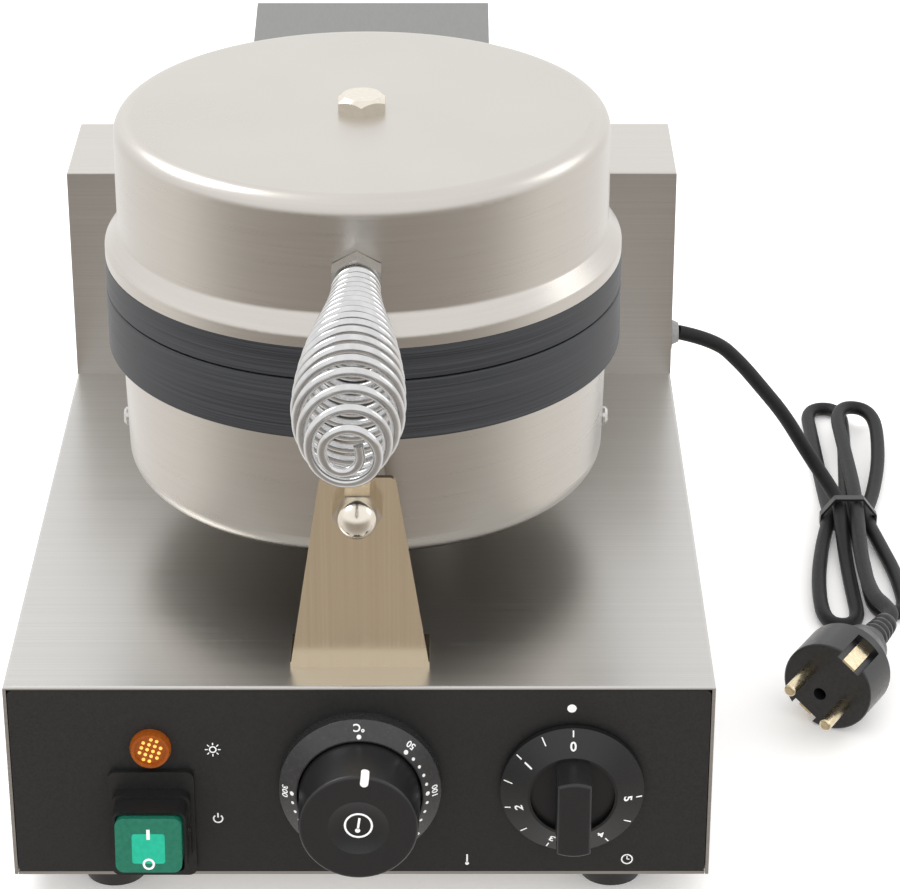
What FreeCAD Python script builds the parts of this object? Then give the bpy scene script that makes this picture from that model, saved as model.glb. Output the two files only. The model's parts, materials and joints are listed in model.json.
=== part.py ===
"""Waffle cone maker: sheet-steel base with a control panel, a fixed lower baking head, a lid that
swings up on a rear hinge, and a mains lead tied in a hank. Millimetres, +Z up, front towards -Y."""
import FreeCAD
import Part
import math
import operator
import os
import Sketcher

SIZES = {
    # Base housing and feet
    "base_width": 250.0,
    "base_depth": 317.0,
    "base_height": 78.0,
    "sheet_gauge": 1.2,
    "fold_radius": 1.0,
    "flange_width": 16.0,
    "plate_fit": 0.2,
    "foot_height": 12.0,
    "foot_top_radius": 13.0,
    "foot_base_radius": 11.0,
    "foot_inset": 34.3,
    "foot_setback": 21.5,
    # Screws and nuts
    "small_screw_radius": 1.9,
    "small_head_radius": 3.6,
    "small_head_height": 2.0,
    "screw_radius": 2.4,
    "screw_head_radius": 4.5,
    "screw_head_height": 2.8,
    "stud_radius": 5.0,
    "nut_across": 17.0,
    "nut_height": 8.0,
    "bolt_head_height": 5.2,
    "acorn_across": 15.0,
    "acorn_dome_radius": 6.9,
    "hole_play": 0.15,
    # Front panel
    "panel_thickness": 1.5,
    "panel_gap": 0.3,
    "panel_corner": 2.0,
    "panel_lip": 12.0,
    # Pilot lamp
    "lamp_inset": 51.1,
    "lamp_drop": 24.4,
    "lamp_radius": 7.3,
    "lamp_height": 3.4,
    "lamp_shank_radius": 5.8,
    "lamp_body_length": 24.0,
    # Power switch
    "switch_inset": 50.8,
    "switch_drop": 55.0,
    "switch_width": 30.5,
    "switch_height": 43.2,
    "switch_flange": 2.6,
    "switch_step": 6.5,
    "switch_step_wall": 0.8,
    "switch_swing": 3.2,
    "switch_floor": 1.5,
    "switch_corner": 3.0,
    "switch_collar": 15.0,
    "switch_wall": 1.0,
    "switch_side_lap": 3.5,
    "switch_end_lap": 4.5,
    "switch_body_length": 26.0,
    "blade_width": 6.3,
    "blade_length": 9.0,
    "blade_gauge": 0.8,
    "blade_across": 6.0,
    "blade_rise": 8.0,
    "rocker_width": 23.4,
    "rocker_height": 20.4,
    "rocker_reach": 14.0,
    "rocker_waist": 17.6,
    "rocker_tilt": 10.0,
    "rocker_play": 0.3,
    "rocker_pin_radius": 1.6,
    "rocker_pin_depth": 6.5,
    # Thermostat
    "thermostat_drop": 39.1,
    "bezel_radius": 28.85,
    "bezel_edge": 5.0,
    "bezel_height": 9.0,
    "bezel_floor": 2.0,
    "knob_base_radius": 21.75,
    "knob_face_radius": 20.85,
    "knob_height": 30.0,
    "knob_gap": 0.5,
    "knob_dimple_radius": 10.7,
    "knob_dimple_depth": 2.4,
    "knob_edge": 1.2,
    "thermostat_body_radius": 21.0,
    "thermostat_body_length": 20.0,
    # Timer
    "timer_inset": 49.8,
    "timer_drop": 40.3,
    "skirt_radius": 25.5,
    "skirt_edge": 3.4,
    "skirt_height": 8.0,
    "skirt_gap": 1.0,
    "dish_radius": 15.0,
    "dish_depth": 2.4,
    "grip_width": 12.0,
    "grip_height": 24.0,
    "grip_edge": 1.2,
    "timer_body_size": 46.0,
    "timer_body_length": 32.0,
    # Control shafts
    "shaft_radius": 3.0,
    "bushing_radius": 4.5,
    "bushing_length": 1.6,
    "shaft_play": 0.05,
    "shaft_socket": 14.0,
    # Hinge column and rear cover
    "column_depth": 57.0,
    "column_height": 91.0,
    "cover_recess": 2.4,
    "tab_size": 14.0,
    "vent_length": 60.0,
    "vent_width": 4.0,
    "vent_pitch": 11.0,
    "vent_count": 5,
    # Baking head
    "head_setback": 130.0,
    "shell_gauge": 1.2,
    "shell_radius": 90.5,
    "lower_shell_base_radius": 89.2,
    "lower_shell_clearance": 28.0,
    "lower_shell_height": 50.8,
    "lower_shell_round": 9.0,
    "plate_radius": 95.5,
    "spigot_radius": 88.0,
    "spigot_height": 6.0,
    "lower_plate_edge": 22.6,
    "parting_gap": 0.5,
    "upper_plate_edge": 12.0,
    "plate_edge_round": 0.7,
    "baking_radius": 88.0,
    "baking_depth": 1.5,
    "groove_pitch": 11.0,
    "groove_width": 2.4,
    "groove_depth": 1.0,
    "groove_count": 15,
    "upper_shell_height": 53.1,
    "upper_shell_round": 7.0,
    "rim_radius": 95.4,
    "rim_height": 4.2,
    "flare_height": 7.0,
    "flare_round": 2.0,
    "element_radius": 60.0,
    "element_wire": 4.0,
    "element_sweep": 330.0,
    "element_play": 0.1,
    "press_radius": 75.0,
    "press_thickness": 3.0,
    "side_screw_rise": 15.0,
    # Brackets that carry the lower head
    "bracket_reach": 116.0,
    "bracket_foot_width": 49.2,
    "bracket_top_width": 26.2,
    "bracket_height": 75.0,
    "bracket_gauge": 2.0,
    "bracket_round": 2.5,
    "bracket_foot_depth": 20.0,
    "bracket_hole_spacing": 30.0,
    "stud_rise": 64.0,
    "sleeve_radius": 9.0,
    # Wiring inside the head
    "conduit_x": 25.0,
    "conduit_setback": 40.0,
    "conduit_radius": 7.0,
    "conduit_wall": 1.0,
    "conduit_overlap": 6.0,
    "bulb_radius": 3.0,
    "bulb_length": 60.0,
    "capillary_radius": 1.2,
    # Hinge
    "pin_inset": 21.0,
    "pin_rise": 17.0,
    "pin_radius": 5.0,
    "pin_play": 0.05,
    "ear_gauge": 4.0,
    "ear_reach": 40.0,
    "ear_radius": 9.0,
    "hinge_plate_gauge": 2.5,
    "hinge_plate_depth": 34.0,
    "bush_radius": 8.0,
    "bush_gap": 0.2,
    "clip_radius": 8.5,
    "clip_gauge": 1.5,
    "pin_end": 3.0,
    "arm_width": 96.0,
    "arm_gauge": 2.0,
    "arm_rear_inset": 5.0,
    "arm_rear_rise": 38.1,
    "arm_front_rise": 16.1,
    "arm_boss_radius": 12.0,
    "arm_heel": 10.0,
    "arm_flange_start": 75.0,
    "arm_flange_rise": 11.1,
    "saddle_gap": 0.2,
    "saddle_angle": 64.0,
    "saddle_bottom": 12.6,
    "saddle_height": 26.0,
    "arm_screw_rise": 31.0,
    # Coil handle
    "handle_reach": 99.0,
    "handle_rise": 25.1,
    "coil_wire": 3.2,
    "coil_neck": 17.4,
    "coil_belly": 36.4,
    "coil_belly_place": 0.8,
    "coil_mouth": 23.0,
    "coil_hook": 12.0,
    "coil_turns": 18,
    "coil_hook_turns": 1.0,
    "coil_first_pitch": 4.6,
    "coil_clearance": 0.5,
    "stud_grip": 24.0,
    # Mains lead
    "cord_radius": 3.15,
    "cord_exit_inset": 28.0,
    "cord_exit_rise": 6.2,
    "cord_gap": 0.6,
    "cord_rise": 0.45,
    "bushing_flange_radius": 7.5,
    "bushing_flange": 2.0,
    "bushing_lip": 2.0,
    "bushing_nose": 3.0,
    "hank_offset": 83.0,
    "hank_inset": 23.0,
    "hank_lift": 1.5,
    "tie_gauge": 1.0,
    "tie_width": 4.0,
    "plug_offset": 64.6,
    "plug_inset": 179.3,
    "plug_turn": 30.0,
    "plug_roll": 35.0,
    "plug_radius": 18.5,
    "plug_front": 20.0,
    "plug_length": 38.0,
    "plug_tail_radius": 9.5,
    "plug_notch_width": 11.0,
    "plug_notch_depth": 4.0,
    "plug_face_hole": 2.6,
    "pin_pitch": 19.0,
    "plug_pin_radius": 2.4,
    "plug_pin_length": 19.0,
    "earth_gauge": 1.0,
    "sleeve_length": 22.0,
    "sleeve_root": 6.5,
    "sleeve_tip": 4.6,
}

OPERATIONS = {"+": operator.add, "-": operator.sub, "*": operator.mul, "/": operator.truediv}


class Term:
    """A size, or sizes put together: its value now and the expression that keeps it bound."""

    def __init__(self, value, text):
        self.value = value
        self.text = text

    def __add__(self, other):
        return combine(self, "+", other)

    def __radd__(self, other):
        return combine(other, "+", self)

    def __sub__(self, other):
        return combine(self, "-", other)

    def __rsub__(self, other):
        return combine(other, "-", self)

    def __mul__(self, other):
        return combine(self, "*", other)

    def __rmul__(self, other):
        return combine(other, "*", self)

    def __truediv__(self, other):
        return combine(self, "/", other)

    def __neg__(self):
        return combine(0, "-", self)


def term(item):
    """The item as a term, also where it is a plain number."""
    if isinstance(item, Term):
        return item
    return Term(float(item), repr(float(item)))


def combine(left, sign, right):
    """Two terms joined by a sign of arithmetic."""
    left = term(left)
    right = term(right)
    value = OPERATIONS[sign](left.value, right.value)
    return Term(value, f"({left.text} {sign} {right.text})")


def root(item):
    """The square root of a term."""
    return Term(math.sqrt(item.value), f"sqrt({item.text})")


class Sizes:
    """The sheet's cells as terms, by their names."""

    def __getattr__(self, name):
        return Term(float(sheet.get(name)), f"sizes.{name}")


doc = FreeCAD.newDocument("waffle_cone_maker")
sheet = doc.addObject("Spreadsheet::Sheet", "sizes")
for row, (alias, amount) in enumerate(SIZES.items(), start=1):
    sheet.set(f"A{row}", alias)
    sheet.set(f"B{row}", str(amount))
    sheet.setAlias(f"B{row}", alias)
doc.recompute()
s = Sizes()

# Levels and lines that several pieces share
front = (s.handle_reach - s.base_depth) / 2
rear = front + s.base_depth
deck = s.foot_height + s.base_height
inside = s.base_width - 2 * s.sheet_gauge
head = front + s.head_setback
column_front = rear - s.column_depth
column_top = deck + s.column_height
cover_back = rear - s.cover_recess
lower_base = deck + s.lower_shell_clearance
lower_rim = lower_base + s.lower_shell_height
parting = lower_rim + s.lower_plate_edge
lid_face = parting + s.parting_gap
upper_rim = lid_face + s.upper_plate_edge
lid_top = upper_rim + s.upper_shell_height
shell_inner = s.shell_radius - s.shell_gauge
handle_z = upper_rim + s.handle_rise
nut_face = head - s.shell_radius - s.nut_height - s.hole_play
pin_y = rear - s.pin_inset
pin_z = column_top + s.pin_rise
saddle_radius = s.shell_radius + s.saddle_gap
arm_rear = rear - s.arm_rear_inset
arm_rear_top = pin_z + s.arm_rear_rise
flange_inner = s.arm_width / 2 - s.arm_gauge
switch_pivot = front - s.rocker_pin_depth
conduit_y = head + s.conduit_setback
cord_z = deck + s.cord_exit_rise
cord_y = rear - s.cord_exit_inset
bushing_end = s.base_width / 2 + s.bushing_flange + s.bushing_nose
lamp_x = s.lamp_inset - s.base_width / 2
switch_x = s.switch_inset - s.base_width / 2
timer_x = s.base_width / 2 - s.timer_inset
arm_front = head + saddle_radius
arm_front_top = upper_rim + s.arm_front_rise
hank_x = s.base_width / 2 + s.hank_offset
hank_y = rear - s.hank_inset
plug_x = s.base_width / 2 + s.plug_offset
plug_y = rear - s.plug_inset
switch_z = deck - s.switch_drop
mouth_width = s.rocker_width + 2 * s.rocker_play
mouth_height = s.rocker_height + s.switch_swing
collar_width = mouth_width + 2 * s.switch_wall
collar_height = mouth_height + 2 * s.switch_wall
switch_body_width = s.switch_width - 2 * s.switch_side_lap
switch_body_height = s.switch_height - 2 * s.switch_end_lap
bushing_shank = s.bushing_flange_radius - s.bushing_lip

UPRIGHT = FreeCAD.Rotation()
FORWARD = FreeCAD.Rotation(FreeCAD.Vector(1, 0, 0), 90)
BACKWARD = FreeCAD.Rotation(FreeCAD.Vector(1, 0, 0), -90)
RIGHTWARD = FreeCAD.Rotation(FreeCAD.Vector(0, 1, 0), 90)
DOWNWARD = FreeCAD.Rotation(FreeCAD.Vector(1, 0, 0), 180)
EYE = 0.01
NODES = []


def node(label, item):
    """Names a finished sub-part."""
    item.Label = label
    NODES.append(item)
    return item


def bind(item, **sizes):
    """Ties properties to terms."""
    for name, size in sizes.items():
        item.setExpression(name, term(size).text)
    return item


def put(item, at=(0, 0, 0), turn=UPRIGHT):
    """Turns an item and ties its place to terms."""
    item.Placement = FreeCAD.Placement(FreeCAD.Vector(), turn)
    for axis, place in zip("xyz", at):
        item.setExpression(f"Placement.Base.{axis}", term(place).text)
    return item


def box(length, width, height, middle_x, y, z):
    """A block centred on middle_x, with its front and its underside at y and z."""
    item = bind(doc.addObject("Part::Box", "Box"), Length=length, Width=width, Height=height)
    return put(item, (middle_x - term(length) / 2, y, z))


def rod(radius, length, at, turn=UPRIGHT):
    """A round bar that starts at a point."""
    item = bind(doc.addObject("Part::Cylinder", "Rod"), Radius=radius, Height=length)
    return put(item, at, turn)


def taper(start_radius, end_radius, length, at, turn=UPRIGHT):
    """A round bar that narrows or widens."""
    item = doc.addObject("Part::Cone", "Taper")
    bind(item, Radius1=start_radius, Radius2=end_radius, Height=length)
    return put(item, at, turn)


def hexagon(across, height, at, turn=UPRIGHT):
    """A six-sided bar, given across its flats."""
    item = doc.addObject("Part::Prism", "Hexagon")
    item.Polygon = 6
    bind(item, Circumradius=across / root(term(3)), Height=height)
    return put(item, at, turn)


def group(*items):
    """Separate solids kept together as one item."""
    item = doc.addObject("Part::Compound", "Group")
    item.Links = list(items)
    return item


def join(*items):
    """Solids welded into one."""
    item = doc.addObject("Part::MultiFuse", "Join")
    item.Shapes = list(items)
    item.Refine = True
    return item


def cut(base, *tools):
    """A solid with the tools taken out of it."""
    item = doc.addObject("Part::Cut", "Cut")
    item.Base = base
    item.Tool = tools[0] if len(tools) == 1 else group(*tools)
    return item


def overlap(first, second):
    """What two solids share."""
    item = doc.addObject("Part::Common", "Common")
    item.Base = first
    item.Tool = second
    return item


def tube(outer, inner, length, at, turn=UPRIGHT):
    """A round pipe."""
    return cut(rod(outer, length, at, turn), rod(inner, length, at, turn))


def rounded(base, radius, chosen):
    """A solid with its chosen edges rounded."""
    doc.recompute()
    item = doc.addObject("Part::Fillet", "Fillet")
    item.Base = base
    size = radius.value
    item.Edges = [(n, size, size) for n, edge in enumerate(base.Shape.Edges, 1) if chosen(edge)]
    return item


def outline(body, plane, points):
    """A closed outline on one of the body's planes, with each corner tied to two terms."""
    sketch = body.newObject("Sketcher::SketchObject", "Outline")
    support = next(item for item in body.Origin.OriginFeatures if item.Role == plane)
    sketch.AttachmentSupport = [(support, "")]
    sketch.MapMode = "FlatFace"
    corners = [FreeCAD.Vector(term(across).value, term(up).value, 0) for across, up in points]
    count = len(corners)
    for index in range(count):
        sketch.addGeometry(Part.LineSegment(corners[index], corners[(index + 1) % count]))
    for index in range(count):
        sketch.addConstraint(Sketcher.Constraint("Coincident", index, 2, (index + 1) % count, 1))
    for index, place in enumerate(points):
        for kind, size in zip(("DistanceX", "DistanceY"), place):
            limit = Sketcher.Constraint(kind, -1, 1, index, 1, term(size).value)
            number = sketch.addConstraint(limit)
            sketch.renameConstraint(number, f"{kind}_{index}")
            sketch.setExpression(f"Constraints.{kind}_{index}", term(size).text)
    return sketch


def turned(points, at=(0, 0, 0), turn=UPRIGHT):
    """A body turned about its own upright axis from an outline of radius and height."""
    body = doc.addObject("PartDesign::Body", "Turned")
    profile = outline(body, "XZ_Plane", points)
    feature = body.newObject("PartDesign::Revolution", "Revolution")
    feature.Profile = profile
    feature.ReferenceAxis = (profile, ["V_Axis"])
    feature.Angle = 360
    return put(body, at, turn)


def pressed(plane, points, thickness, at=(0, 0, 0), turn=UPRIGHT):
    """A body cut from sheet or block, its thickness centred on its outline's plane."""
    body = doc.addObject("PartDesign::Body", "Pressed")
    feature = body.newObject("PartDesign::Pad", "Pad")
    feature.Profile = outline(body, plane, points)
    feature.SideType = "Symmetric"
    bind(feature, Length=thickness)
    return put(body, at, turn)


def soften(body, radius, chosen):
    """Rounds chosen edges of a body."""
    doc.recompute()
    before = body.Tip
    edges = [f"Edge{n}" for n, edge in enumerate(before.Shape.Edges, 1) if chosen(edge)]
    feature = body.newObject("PartDesign::Fillet", "Round")
    feature.Base = (before, edges)
    bind(feature, Radius=radius)
    return body


def circle_at(radius, height):
    """Chooses the round edge of a turned body with this radius at this height."""
    wide = term(radius).value
    high = term(height).value

    def chosen(edge):
        if edge.Curve.TypeId != "Part::GeomCircle":
            return False
        return abs(edge.Curve.Radius - wide) < EYE and abs(edge.Curve.Center.z - high) < EYE

    return chosen


def about_head(item, degrees, level=0):
    """An item made about the origin, carried to the head's axis and turned about it."""
    turn = FreeCAD.Rotation(FreeCAD.Vector(0, 0, 1), degrees)
    return put(group(item), (0, head, level), turn)


def screw(at, reach, turn, shank=None, wide=None, tall=None):
    """A pan-head screw: at is under its head, and its shank goes the way it is turned."""
    shank = shank or s.small_screw_radius
    wide = wide or s.small_head_radius
    tall = tall or s.small_head_height
    points = [(0, -tall), (wide * 0.7, -tall), (wide, -tall * 0.5), (wide, 0), (shank, 0), (shank, reach)]
    return turned(points + [(0, reach)], at, turn)


def level_edges(height):
    """Chooses the edges that lie at one height."""
    high = term(height).value
    return lambda edge: all(abs(corner.Z - high) < EYE for corner in edge.Vertexes)


def front_edges(y):
    """Chooses the edges that lie in one plane across the depth."""
    deep = term(y).value
    return lambda edge: all(abs(corner.Y - deep) < EYE for corner in edge.Vertexes)


def depth_edges(edge):
    """Chooses the straight edges that run from front to back."""
    if len(edge.Vertexes) < 2:
        return False
    start, end = (corner.Point for corner in edge.Vertexes)
    return abs(start.x - end.x) < EYE and abs(start.z - end.z) < EYE


def nut(across, height, bore, at, turn=UPRIGHT):
    """A hexagon nut with a plain bore."""
    return cut(hexagon(across, height, at, turn), rod(bore + s.hole_play, height, at, turn))


def through(radius, x, y):
    """An upright drill through the deck or through a plate near it."""
    return rod(radius + s.hole_play, 4 * s.sheet_gauge, (x, y, deck - 3 * s.sheet_gauge))


def panel_hole(radius, x, drop):
    """A drill through the front panel."""
    start = (x, front - s.panel_thickness, deck - drop)
    return rod(radius + s.hole_play, 3 * s.panel_thickness, start, BACKWARD)


def corners(x, first_y, last_y):
    """Four places, two on each side."""
    return [(side * x, y) for side in (-1, 1) for y in (first_y, last_y)]


def bracket_holes():
    """Places of the screws that hold the two brackets down."""
    inward = s.bracket_reach - (s.bracket_foot_depth + s.bracket_gauge) / 2
    return corners(s.bracket_hole_spacing / 2, head - inward, head + inward)


def make_base():
    """Housing, bottom plate, feet and their screws."""
    block = box(s.base_width, s.base_depth, s.base_height, 0, front, s.foot_height)
    block = rounded(block, s.fold_radius, level_edges(deck))
    under = s.foot_height - s.sheet_gauge
    hollow = box(inside, s.base_depth, s.base_height, 0, front - s.sheet_gauge, under)
    floor = s.foot_height + s.sheet_gauge
    flange_x = (inside - s.flange_width) / 2
    flange_y = front + s.panel_thickness + s.panel_gap
    flange_length = rear - s.sheet_gauge - flange_y
    flanges = [box(s.flange_width, flange_length, s.sheet_gauge, side * flange_x, flange_y, floor)
               for side in (-1, 1)]
    housing = join(cut(block, hollow), *flanges)
    screw_places = corners(flange_x, front + 2 * s.foot_setback, rear - 2 * s.foot_setback)
    shank = s.small_screw_radius + s.hole_play
    low = s.foot_height - s.sheet_gauge
    flange_drills = [rod(shank, 5 * s.sheet_gauge, (x, y, low)) for x, y in screw_places]
    deck_drills = [through(s.small_screw_radius, x, y) for x, y in bracket_holes()]
    deck_drills.append(through(s.conduit_radius, s.conduit_x, conduit_y))
    deck_drills.append(through(s.conduit_radius, -s.conduit_x, column_front + s.column_depth / 2))
    node("base_housing", cut(housing, *flange_drills, *deck_drills))

    plate_width = inside - 2 * s.plate_fit
    plate_depth = s.base_depth - s.sheet_gauge - s.plate_fit
    plate = box(plate_width, plate_depth, s.sheet_gauge, 0, front, s.foot_height)
    foot_places = corners(s.base_width / 2 - s.foot_inset, front + s.foot_setback, rear - s.foot_setback)
    foot_drills = [rod(s.screw_radius + s.hole_play, 5 * s.sheet_gauge, (x, y, low)) for x, y in foot_places]
    plate_drills = [rod(shank, 5 * s.sheet_gauge, (x, y, low)) for x, y in screw_places]
    node("bottom_plate", cut(plate, *foot_drills, *plate_drills))
    reach = 3 * s.sheet_gauge
    heads = [screw((x, y, s.foot_height), reach, UPRIGHT) for x, y in screw_places]
    node("underside_screws", group(*heads))

    well = s.foot_height / 2
    feet = []
    screws = []
    nuts = []
    for x, y in foot_places:
        foot = taper(s.foot_base_radius, s.foot_top_radius, s.foot_height, (x, y, 0))
        bore = rod(s.screw_radius + s.hole_play, s.foot_height, (x, y, 0))
        socket = rod(s.screw_head_radius + s.plate_fit, well, (x, y, 0))
        feet.append(cut(cut(foot, bore), socket))
        length = s.foot_height - well + s.sheet_gauge + s.nut_height / 2
        screws.append(screw((x, y, well), length, UPRIGHT, s.screw_radius, s.screw_head_radius,
                            s.screw_head_height))
        nuts.append(nut(s.nut_across / 2, s.nut_height / 2, s.screw_radius, (x, y, floor)))
    node("rubber_feet", group(*feet))
    node("foot_screws", group(*screws, *nuts))


def make_panel():
    """Black control panel with its cut-outs."""
    width = inside - 2 * s.panel_gap
    floor = s.foot_height + s.sheet_gauge
    height = s.base_height - 2 * s.sheet_gauge - s.panel_gap
    face = rounded(box(width, s.panel_thickness, height, 0, front, floor), s.panel_corner, depth_edges)
    lip_width = inside - 2 * s.flange_width - 2 * s.panel_gap
    lip = box(lip_width, s.panel_lip, s.panel_thickness, 0, front + s.panel_thickness / 2, floor)
    opening_width = switch_body_width + 2 * s.plate_fit
    opening_height = switch_body_height + 2 * s.plate_fit
    opening = box(opening_width, 3 * s.panel_thickness, opening_height, switch_x, front - s.panel_thickness,
                  switch_z - opening_height / 2)
    tools = [
        panel_hole(s.lamp_shank_radius, lamp_x, s.lamp_drop),
        panel_hole(s.bushing_radius, 0, s.thermostat_drop),
        panel_hole(s.bushing_radius, timer_x, s.timer_drop),
        opening,
    ]
    node("front_panel", cut(join(face, lip), *tools))


def make_lamp():
    """Amber lens and the holder behind the panel."""
    place = (lamp_x, front, deck - s.lamp_drop)
    rim = s.lamp_radius * 0.78
    dish = s.lamp_height * 0.7
    lens = [(0, 0), (s.lamp_radius, 0), (s.lamp_radius, s.lamp_height * 0.5),
            (s.lamp_radius * 0.92, s.lamp_height), (rim, s.lamp_height), (rim * 0.96, dish), (0, dish)]
    node("lamp_lens", turned(lens, place, FORWARD))
    back = -s.panel_thickness
    collar = s.lamp_radius * 1.2
    shank = s.lamp_shank_radius
    end = -s.lamp_body_length
    holder = [(0, 0), (shank, 0), (shank, back), (collar, back), (collar, back * 4), (shank, back * 4),
              (shank, end), (0, end)]
    node("lamp_holder", turned(holder, place, FORWARD))


def switch_block(width, depth, height, corner):
    """One step of the switch frame, standing out from the panel."""
    block = box(width, depth, height, switch_x, front - depth, switch_z - height / 2)
    return rounded(block, corner, depth_edges)


def make_switch():
    """Stepped frame, green rocker and the body behind the panel."""
    flange = switch_block(s.switch_width, s.switch_flange, s.switch_height, s.switch_corner)
    step = switch_block(collar_width + 2 * s.switch_step_wall, s.switch_step,
                        collar_height + 4 * s.switch_step_wall, s.switch_corner)
    collar = switch_block(collar_width, s.switch_collar, collar_height, s.switch_corner)
    depth = s.switch_collar - s.switch_floor
    mouth_low = switch_z - mouth_height / 2
    mouth = box(mouth_width, depth, mouth_height, switch_x, front - s.switch_collar, mouth_low)
    mouth = rounded(mouth, s.switch_corner - s.switch_wall, depth_edges)
    half = collar_width / 2 + s.switch_step_wall
    bearing_start = (switch_x - half, switch_pivot, switch_z)
    bearing = rod(s.rocker_pin_radius + s.shaft_play, 2 * half, bearing_start, RIGHTWARD)
    node("switch_frame", cut(cut(join(flange, step, collar), mouth), bearing))

    tall = s.rocker_height / 2
    slim = s.rocker_waist / 2
    back = s.rocker_pin_depth - s.switch_floor - s.rocker_play * 5
    shape = [(-s.rocker_reach, tall), (0, slim), (back, slim / 2), (back, -slim / 2), (0, -slim),
             (-s.rocker_reach, -tall)]
    tilt = FreeCAD.Rotation(FreeCAD.Vector(1, 0, 0), -s.rocker_tilt.value)
    place = (switch_x, switch_pivot, switch_z)
    paddle = pressed("YZ_Plane", shape, s.rocker_width, place, tilt)
    face = -s.rocker_reach.value

    def corner_edges(edge):
        ends = sorted(corner.Y for corner in edge.Vertexes)
        return abs(ends[0] - face) < EYE and abs(ends[-1]) < EYE

    soften(paddle, s.switch_corner, corner_edges)
    pin_half = half - s.rocker_play
    pin = rod(s.rocker_pin_radius, 2 * pin_half, (switch_x - pin_half, switch_pivot, switch_z), RIGHTWARD)
    node("switch_rocker", join(paddle, pin))

    body = box(switch_body_width, s.switch_body_length, switch_body_height, switch_x, front,
               switch_z - switch_body_height / 2)
    blade_y = front + s.switch_body_length
    blades = []
    for across in (-1, 1):
        for up in (-1, 1):
            x = switch_x + across * s.blade_across
            z = switch_z + up * s.blade_rise
            blades.append(box(s.blade_width, s.blade_length, s.blade_gauge, x, blade_y, z))
    node("switch_body", join(body, *blades))


def control_body(block, x, drop):
    """A control's works behind the panel, with the threaded bushing that its shaft turns in."""
    length = s.panel_thickness + s.bushing_length
    start = (x, front - s.bushing_length, deck - drop)
    bushing = rod(s.bushing_radius, length, start, BACKWARD)
    bore = rod(s.shaft_radius + s.shaft_play, length + s.shaft_socket, start, BACKWARD)
    return cut(join(block, bushing), bore)


def control_shaft(x, drop, reach):
    """A shaft from inside its works to the end of the knob's socket."""
    length = reach + s.panel_thickness + s.shaft_socket - s.panel_gap
    return rod(s.shaft_radius, length, (x, front - reach, deck - drop), BACKWARD)


def make_thermostat():
    """Bezel ring, knob, shaft and works."""
    place = (0, front, deck - s.thermostat_drop)
    bore = s.bushing_radius + s.hole_play
    well = s.knob_base_radius + s.knob_gap
    ring = [(bore, 0), (s.bezel_radius, 0), (s.bezel_radius, s.bezel_edge), (well + s.knob_gap, s.bezel_height),
            (well, s.bezel_height), (well, s.bezel_floor), (bore, s.bezel_floor)]
    bezel = turned(ring, place, FORWARD)
    node("thermostat_bezel", soften(bezel, s.knob_gap, circle_at(s.bezel_radius, s.bezel_edge)))

    low = s.bezel_floor + s.knob_gap
    socket = low + s.shaft_socket
    hole = s.shaft_radius + s.shaft_play
    profile = [(hole, low), (s.knob_base_radius, low), (s.knob_face_radius, s.knob_height), (0, s.knob_height),
               (0, socket), (hole, socket)]
    knob = soften(turned(profile, place, FORWARD), s.knob_edge, circle_at(s.knob_face_radius, s.knob_height))
    wide = s.knob_dimple_radius
    deep = s.knob_dimple_depth
    hollow = (wide * wide + deep * deep) / (2 * deep)
    ball = bind(doc.addObject("Part::Sphere", "Ball"), Radius=hollow)
    put(ball, (0, front - s.knob_height + deep - hollow, deck - s.thermostat_drop))
    node("thermostat_knob", cut(knob, ball))
    node("thermostat_shaft", control_shaft(0, s.thermostat_drop, socket - s.panel_gap))
    start = (0, front + s.panel_thickness, deck - s.thermostat_drop)
    works = rod(s.thermostat_body_radius, s.thermostat_body_length, start, BACKWARD)
    node("thermostat_body", control_body(works, 0, s.thermostat_drop))


def make_timer():
    """Skirted knob with a grip bar, shaft and works."""
    place = (timer_x, front, deck - s.timer_drop)
    floor = s.skirt_height - s.dish_depth
    profile = [(0, s.skirt_gap), (s.skirt_radius, s.skirt_gap), (s.skirt_radius, s.skirt_edge),
               (s.dish_radius + s.skirt_gap, s.skirt_height), (s.dish_radius, s.skirt_height),
               (s.dish_radius, floor), (0, floor)]
    skirt = turned(profile, place, FORWARD)
    top = front - s.grip_height
    length = s.grip_height - s.skirt_gap * 2
    bar = box(s.grip_width, length, 2 * s.dish_radius, timer_x, top, deck - s.timer_drop - s.dish_radius)
    post = rod(s.dish_radius, length, (timer_x, top, deck - s.timer_drop), BACKWARD)
    grip = rounded(overlap(bar, post), s.grip_edge, front_edges(top))
    back = (timer_x, front - s.skirt_gap, deck - s.timer_drop)
    socket = rod(s.shaft_radius + s.shaft_play, s.shaft_socket, back, FORWARD)
    relief = rod(s.bushing_radius + s.knob_gap, s.bushing_length, back, FORWARD)
    node("timer_knob", cut(cut(join(skirt, grip), socket), relief))
    reach = s.skirt_gap + s.shaft_socket - s.panel_gap
    node("timer_shaft", control_shaft(timer_x, s.timer_drop, reach))
    works = box(s.timer_body_size, s.timer_body_length, s.timer_body_size, timer_x, front + s.panel_thickness,
                deck - s.timer_drop - s.timer_body_size / 2)
    node("timer_body", control_body(works, timer_x, s.timer_drop))


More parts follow.
